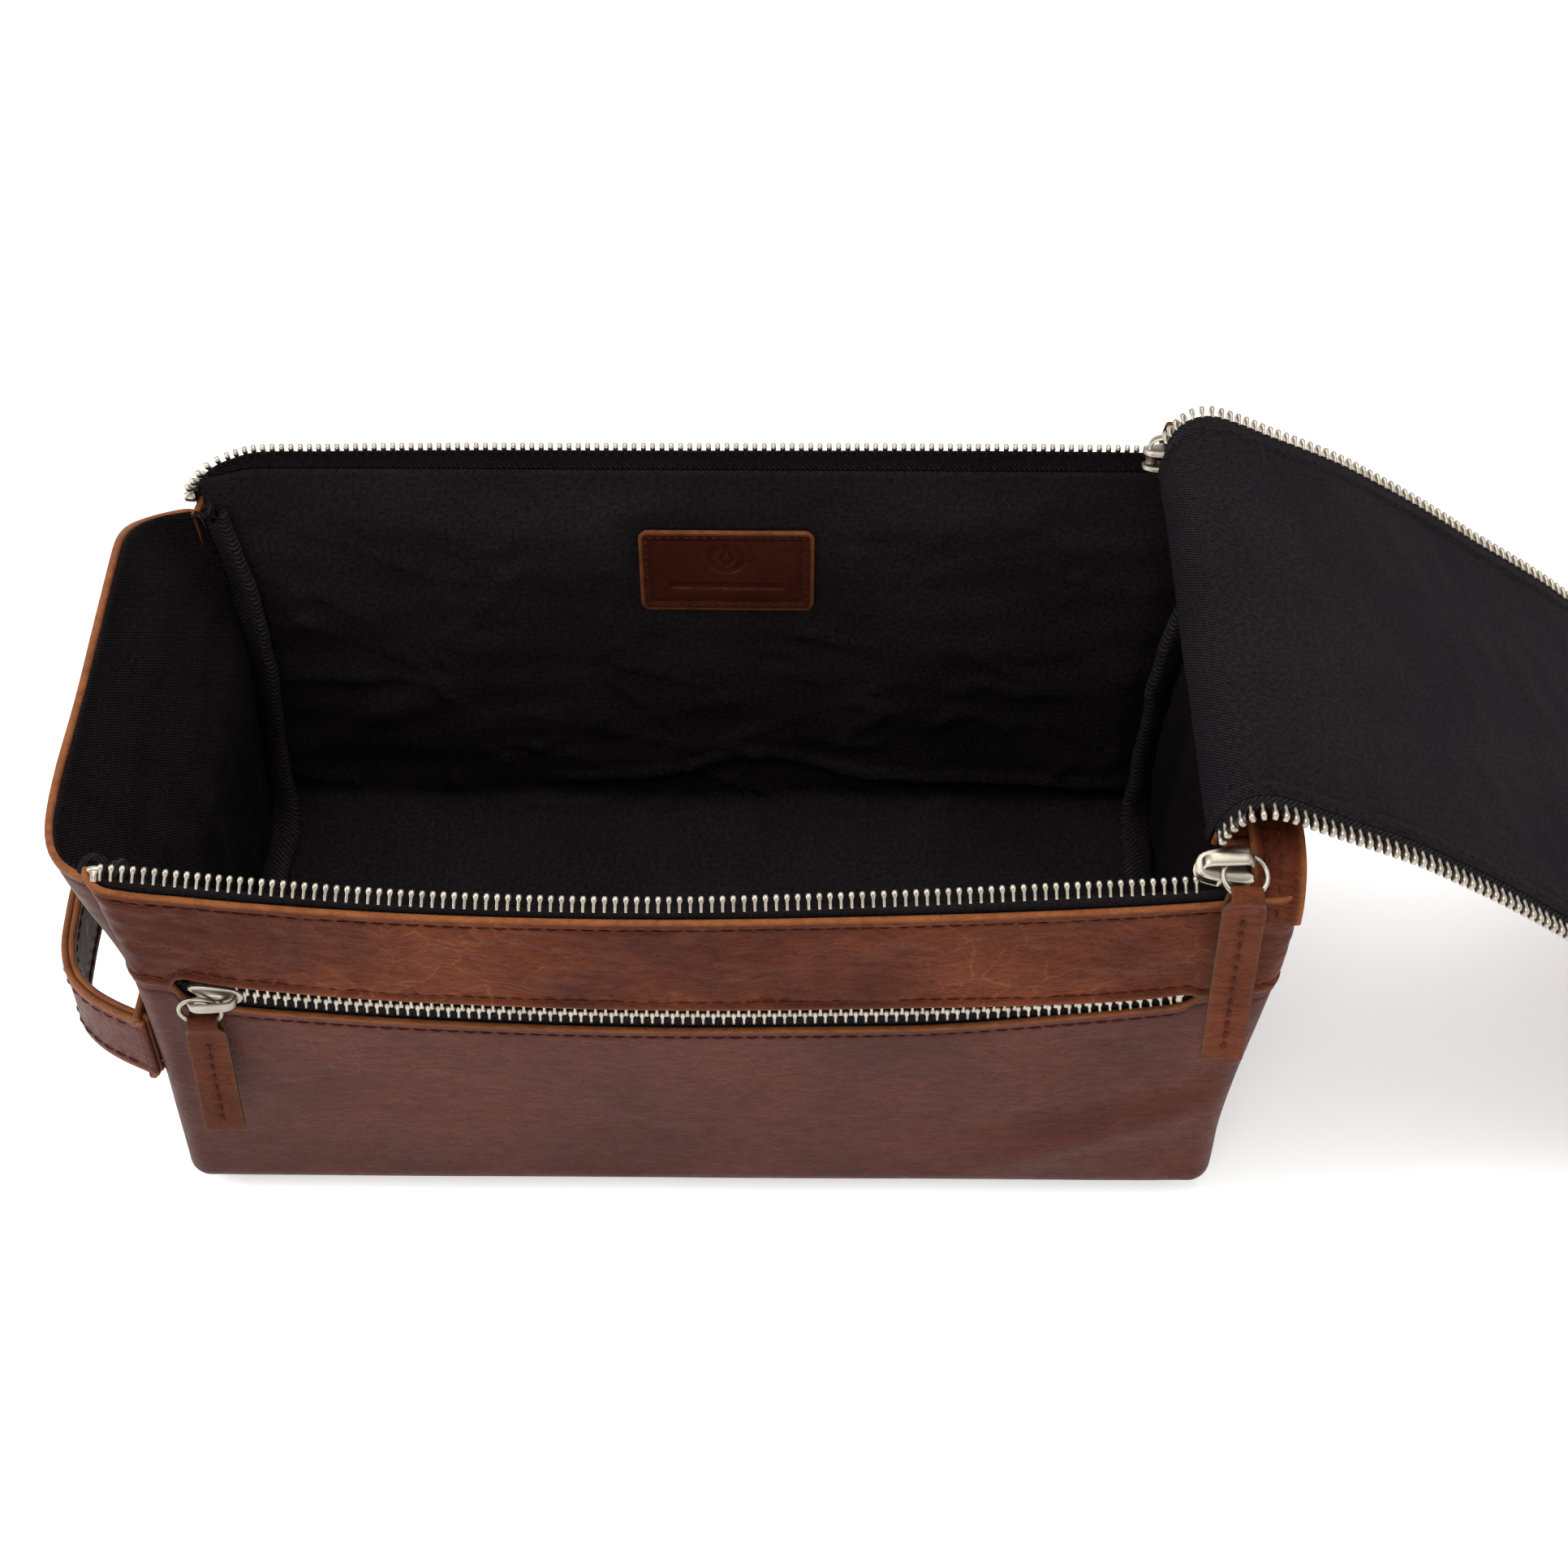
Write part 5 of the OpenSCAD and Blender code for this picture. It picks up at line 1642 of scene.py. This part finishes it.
def setting():
    """Pale seamless floor, a soft box overhead, one in front and one at each side, and an even pale
    surround.
    """
    camera()
    mesh = mesh_from("floor", np.array([(-4000, -4000, -0.4), (4000, -4000, -0.4), (4000, 4000, -0.4),
                                        (-4000, 4000, -0.4)]), [[0, 1, 2, 3]])
    floor = bpy.data.objects.new("floor", mesh)
    bpy.context.collection.objects.link(floor)
    made, _, shader, _ = material("Paper floor")
    shader.inputs["Base Color"].default_value = (0.96, 0.96, 0.96, 1)
    shader.inputs["Emission Color"].default_value = (1, 1, 1, 1)
    shader.inputs["Emission Strength"].default_value = 0.34
    shader.inputs["Roughness"].default_value = 0.75
    shader.inputs["Specular IOR Level"].default_value = 0.1
    mesh.materials.append(made)
    lamp("soft box above", (1.8, 1.4), 22.0, (0.0, 0.35, 1.5), (0, 0, 0.05))
    lamp("soft box front", (1.4, 0.7), 9.0, (-0.2, -1.5, 0.75), (0, 0, 0.08))
    lamp("soft box left", (0.5, 1.0), 8.0, (-1.3, -0.1, 0.7), (0, 0, 0.1))
    lamp("soft box right", (0.5, 1.0), 3.0, (1.3, -0.4, 0.8), (0, 0, 0.1))
    world = bpy.data.worlds.new("surround")
    world.use_nodes = True
    world.node_tree.nodes["Background"].inputs[0].default_value = (1, 1, 1, 1)
    world.node_tree.nodes["Background"].inputs[1].default_value = 0.80
    bpy.context.scene.world = world
    bpy.context.scene.view_settings.view_transform = "Standard"


# ---- operators ----


class KITBAG_OT_setting(bpy.types.Operator):
    """Add the camera, floor and lights"""

    bl_idname = "kit_bag.setting"
    bl_label = "Setting"

    def execute(self, context):
        setting()
        return {"FINISHED"}


class KITBAG_OT_finishes(bpy.types.Operator):
    """Make every material"""

    bl_idname = "kit_bag.finishes"
    bl_label = "Finishes"

    def execute(self, context):
        finishes()
        return {"FINISHED"}


class KITBAG_OT_body(bpy.types.Operator):
    """Build the lower front, base and back"""

    bl_idname = "kit_bag.body"
    bl_label = "Body leather"

    def execute(self, context):
        body_leather()
        return {"FINISHED"}


class KITBAG_OT_band(bpy.types.Operator):
    """Build the band above the pocket's zip"""

    bl_idname = "kit_bag.band"
    bl_label = "Front band"

    def execute(self, context):
        band_leather()
        return {"FINISHED"}


class KITBAG_OT_ends(bpy.types.Operator):
    """Build the two end panels"""

    bl_idname = "kit_bag.ends"
    bl_label = "End panels"

    def execute(self, context):
        end_panel("left_panel_leather", -1, "left_side_panel", 130.4)
        end_panel("right_panel_leather", 1, "right_side_panel", 130.4)
        return {"FINISHED"}


class KITBAG_OT_top_end(bpy.types.Operator):
    """Build the strip and covers at the right end"""

    bl_idname = "kit_bag.top_end"
    bl_label = "Top end"

    def execute(self, context):
        top_end()
        return {"FINISHED"}


class KITBAG_OT_linings(bpy.types.Operator):
    """Build the linings and the pocket's bag"""

    bl_idname = "kit_bag.linings"
    bl_label = "Linings"

    def execute(self, context):
        lining_wrap()
        lining_end("lining_left_end", -1, "lining_left")
        lining_end("lining_right_end", 1, "lining_right")
        pouch()
        return {"FINISHED"}


class KITBAG_OT_bindings(bpy.types.Operator):
    """Build the bound ribs inside the end seams"""

    bl_idname = "kit_bag.bindings"
    bl_label = "Seam bindings"

    def execute(self, context):
        binding("binding_left", -1, "seam_binding_left")
        binding("binding_right", 1, "seam_binding_right")
        corner_loops()
        return {"FINISHED"}


class KITBAG_OT_label(bpy.types.Operator):
    """Build the leather patch on the lining"""

    bl_idname = "kit_bag.label"
    bl_label = "Label"

    def execute(self, context):
        label()
        return {"FINISHED"}


class KITBAG_OT_mouth_zips(bpy.types.Operator):
    """Build the mouth's tapes, teeth and the small metal stops"""

    bl_idname = "kit_bag.mouth_zips"
    bl_label = "Mouth zips"

    def execute(self, context):
        for name, front in (("front", True), ("back", False)):
            mouth_tape(name + "_tape", front, name + "_zip_tape")
            mouth_teeth(name + "_teeth", front, name + "_zip_teeth")
        stops()
        return {"FINISHED"}


class KITBAG_OT_pocket_zip(bpy.types.Operator):
    """Build the pocket's tapes and teeth"""

    bl_idname = "kit_bag.pocket_zip"
    bl_label = "Pocket zip"

    def execute(self, context):
        pocket_zip()
        return {"FINISHED"}


class KITBAG_OT_sliders(bpy.types.Operator):
    """Build the three sliders and finish the rings"""

    bl_idname = "kit_bag.sliders"
    bl_label = "Sliders"

    def execute(self, context):
        sliders()
        return {"FINISHED"}


class KITBAG_OT_pulls(bpy.types.Operator):
    """Build the three leather pulls"""

    bl_idname = "kit_bag.pulls"
    bl_label = "Pulls"

    def execute(self, context):
        for zip_name, long in (("front", 56.0), ("back", 56.0), ("pocket", 42.0)):
            pull(zip_name, long)
        return {"FINISHED"}


class KITBAG_OT_handle(bpy.types.Operator):
    """Build the strap on the left end"""

    bl_idname = "kit_bag.handle"
    bl_label = "Handle"

    def execute(self, context):
        handle()
        return {"FINISHED"}


class KITBAG_OT_flap(bpy.types.Operator):
    """Build the open flap in strips"""

    bl_idname = "kit_bag.flap"
    bl_label = "Flap"

    def execute(self, context):
        flap()
        return {"FINISHED"}


class KITBAG_OT_stitches(bpy.types.Operator):
    """Sew the body's turned edges"""

    bl_idname = "kit_bag.stitches"
    bl_label = "Stitches"

    def execute(self, context):
        body_stitches()
        return {"FINISHED"}


OPERATORS = [
    KITBAG_OT_setting, KITBAG_OT_finishes, KITBAG_OT_body, KITBAG_OT_band, KITBAG_OT_ends,
    KITBAG_OT_top_end, KITBAG_OT_linings, KITBAG_OT_bindings, KITBAG_OT_label, KITBAG_OT_mouth_zips,
    KITBAG_OT_pocket_zip, KITBAG_OT_sliders, KITBAG_OT_pulls, KITBAG_OT_handle, KITBAG_OT_flap,
    KITBAG_OT_stitches,
]


class KITBAG_PT_panel(bpy.types.Panel):
    """Sidebar panel with the bag's sizes, colours and building steps"""

    bl_label = "Shaving Kit Bag"
    bl_idname = "KITBAG_PT_panel"
    bl_space_type = "VIEW_3D"
    bl_region_type = "UI"
    bl_category = "Kit Bag"

    def draw(self, context):
        for settings in (context.scene.kit_bag_sizes, context.scene.kit_bag_colours):
            box = self.layout.box()
            for key in settings.__annotations__:
                box.prop(settings, key)
        column = self.layout.column(align=True)
        for step in OPERATORS:
            column.operator(step.bl_idname)


CLASSES = [BagSizes, BagColours, *OPERATORS, KITBAG_PT_panel]


def register():
    """Add the classes and hang the settings on the scene."""
    for item in CLASSES:
        bpy.utils.register_class(item)
    bpy.types.Scene.kit_bag_sizes = PointerProperty(type=BagSizes)
    bpy.types.Scene.kit_bag_colours = PointerProperty(type=BagColours)


def unregister():
    """Take them off again, in reverse order."""
    del bpy.types.Scene.kit_bag_colours
    del bpy.types.Scene.kit_bag_sizes
    for item in reversed(CLASSES):
        bpy.utils.unregister_class(item)


def main():
    """Build the bag, one operator after another."""
    register()
    for step in OPERATORS:
        getattr(bpy.ops.kit_bag, step.bl_idname.split(".")[1])()


if __name__ == "__main__":
    main()
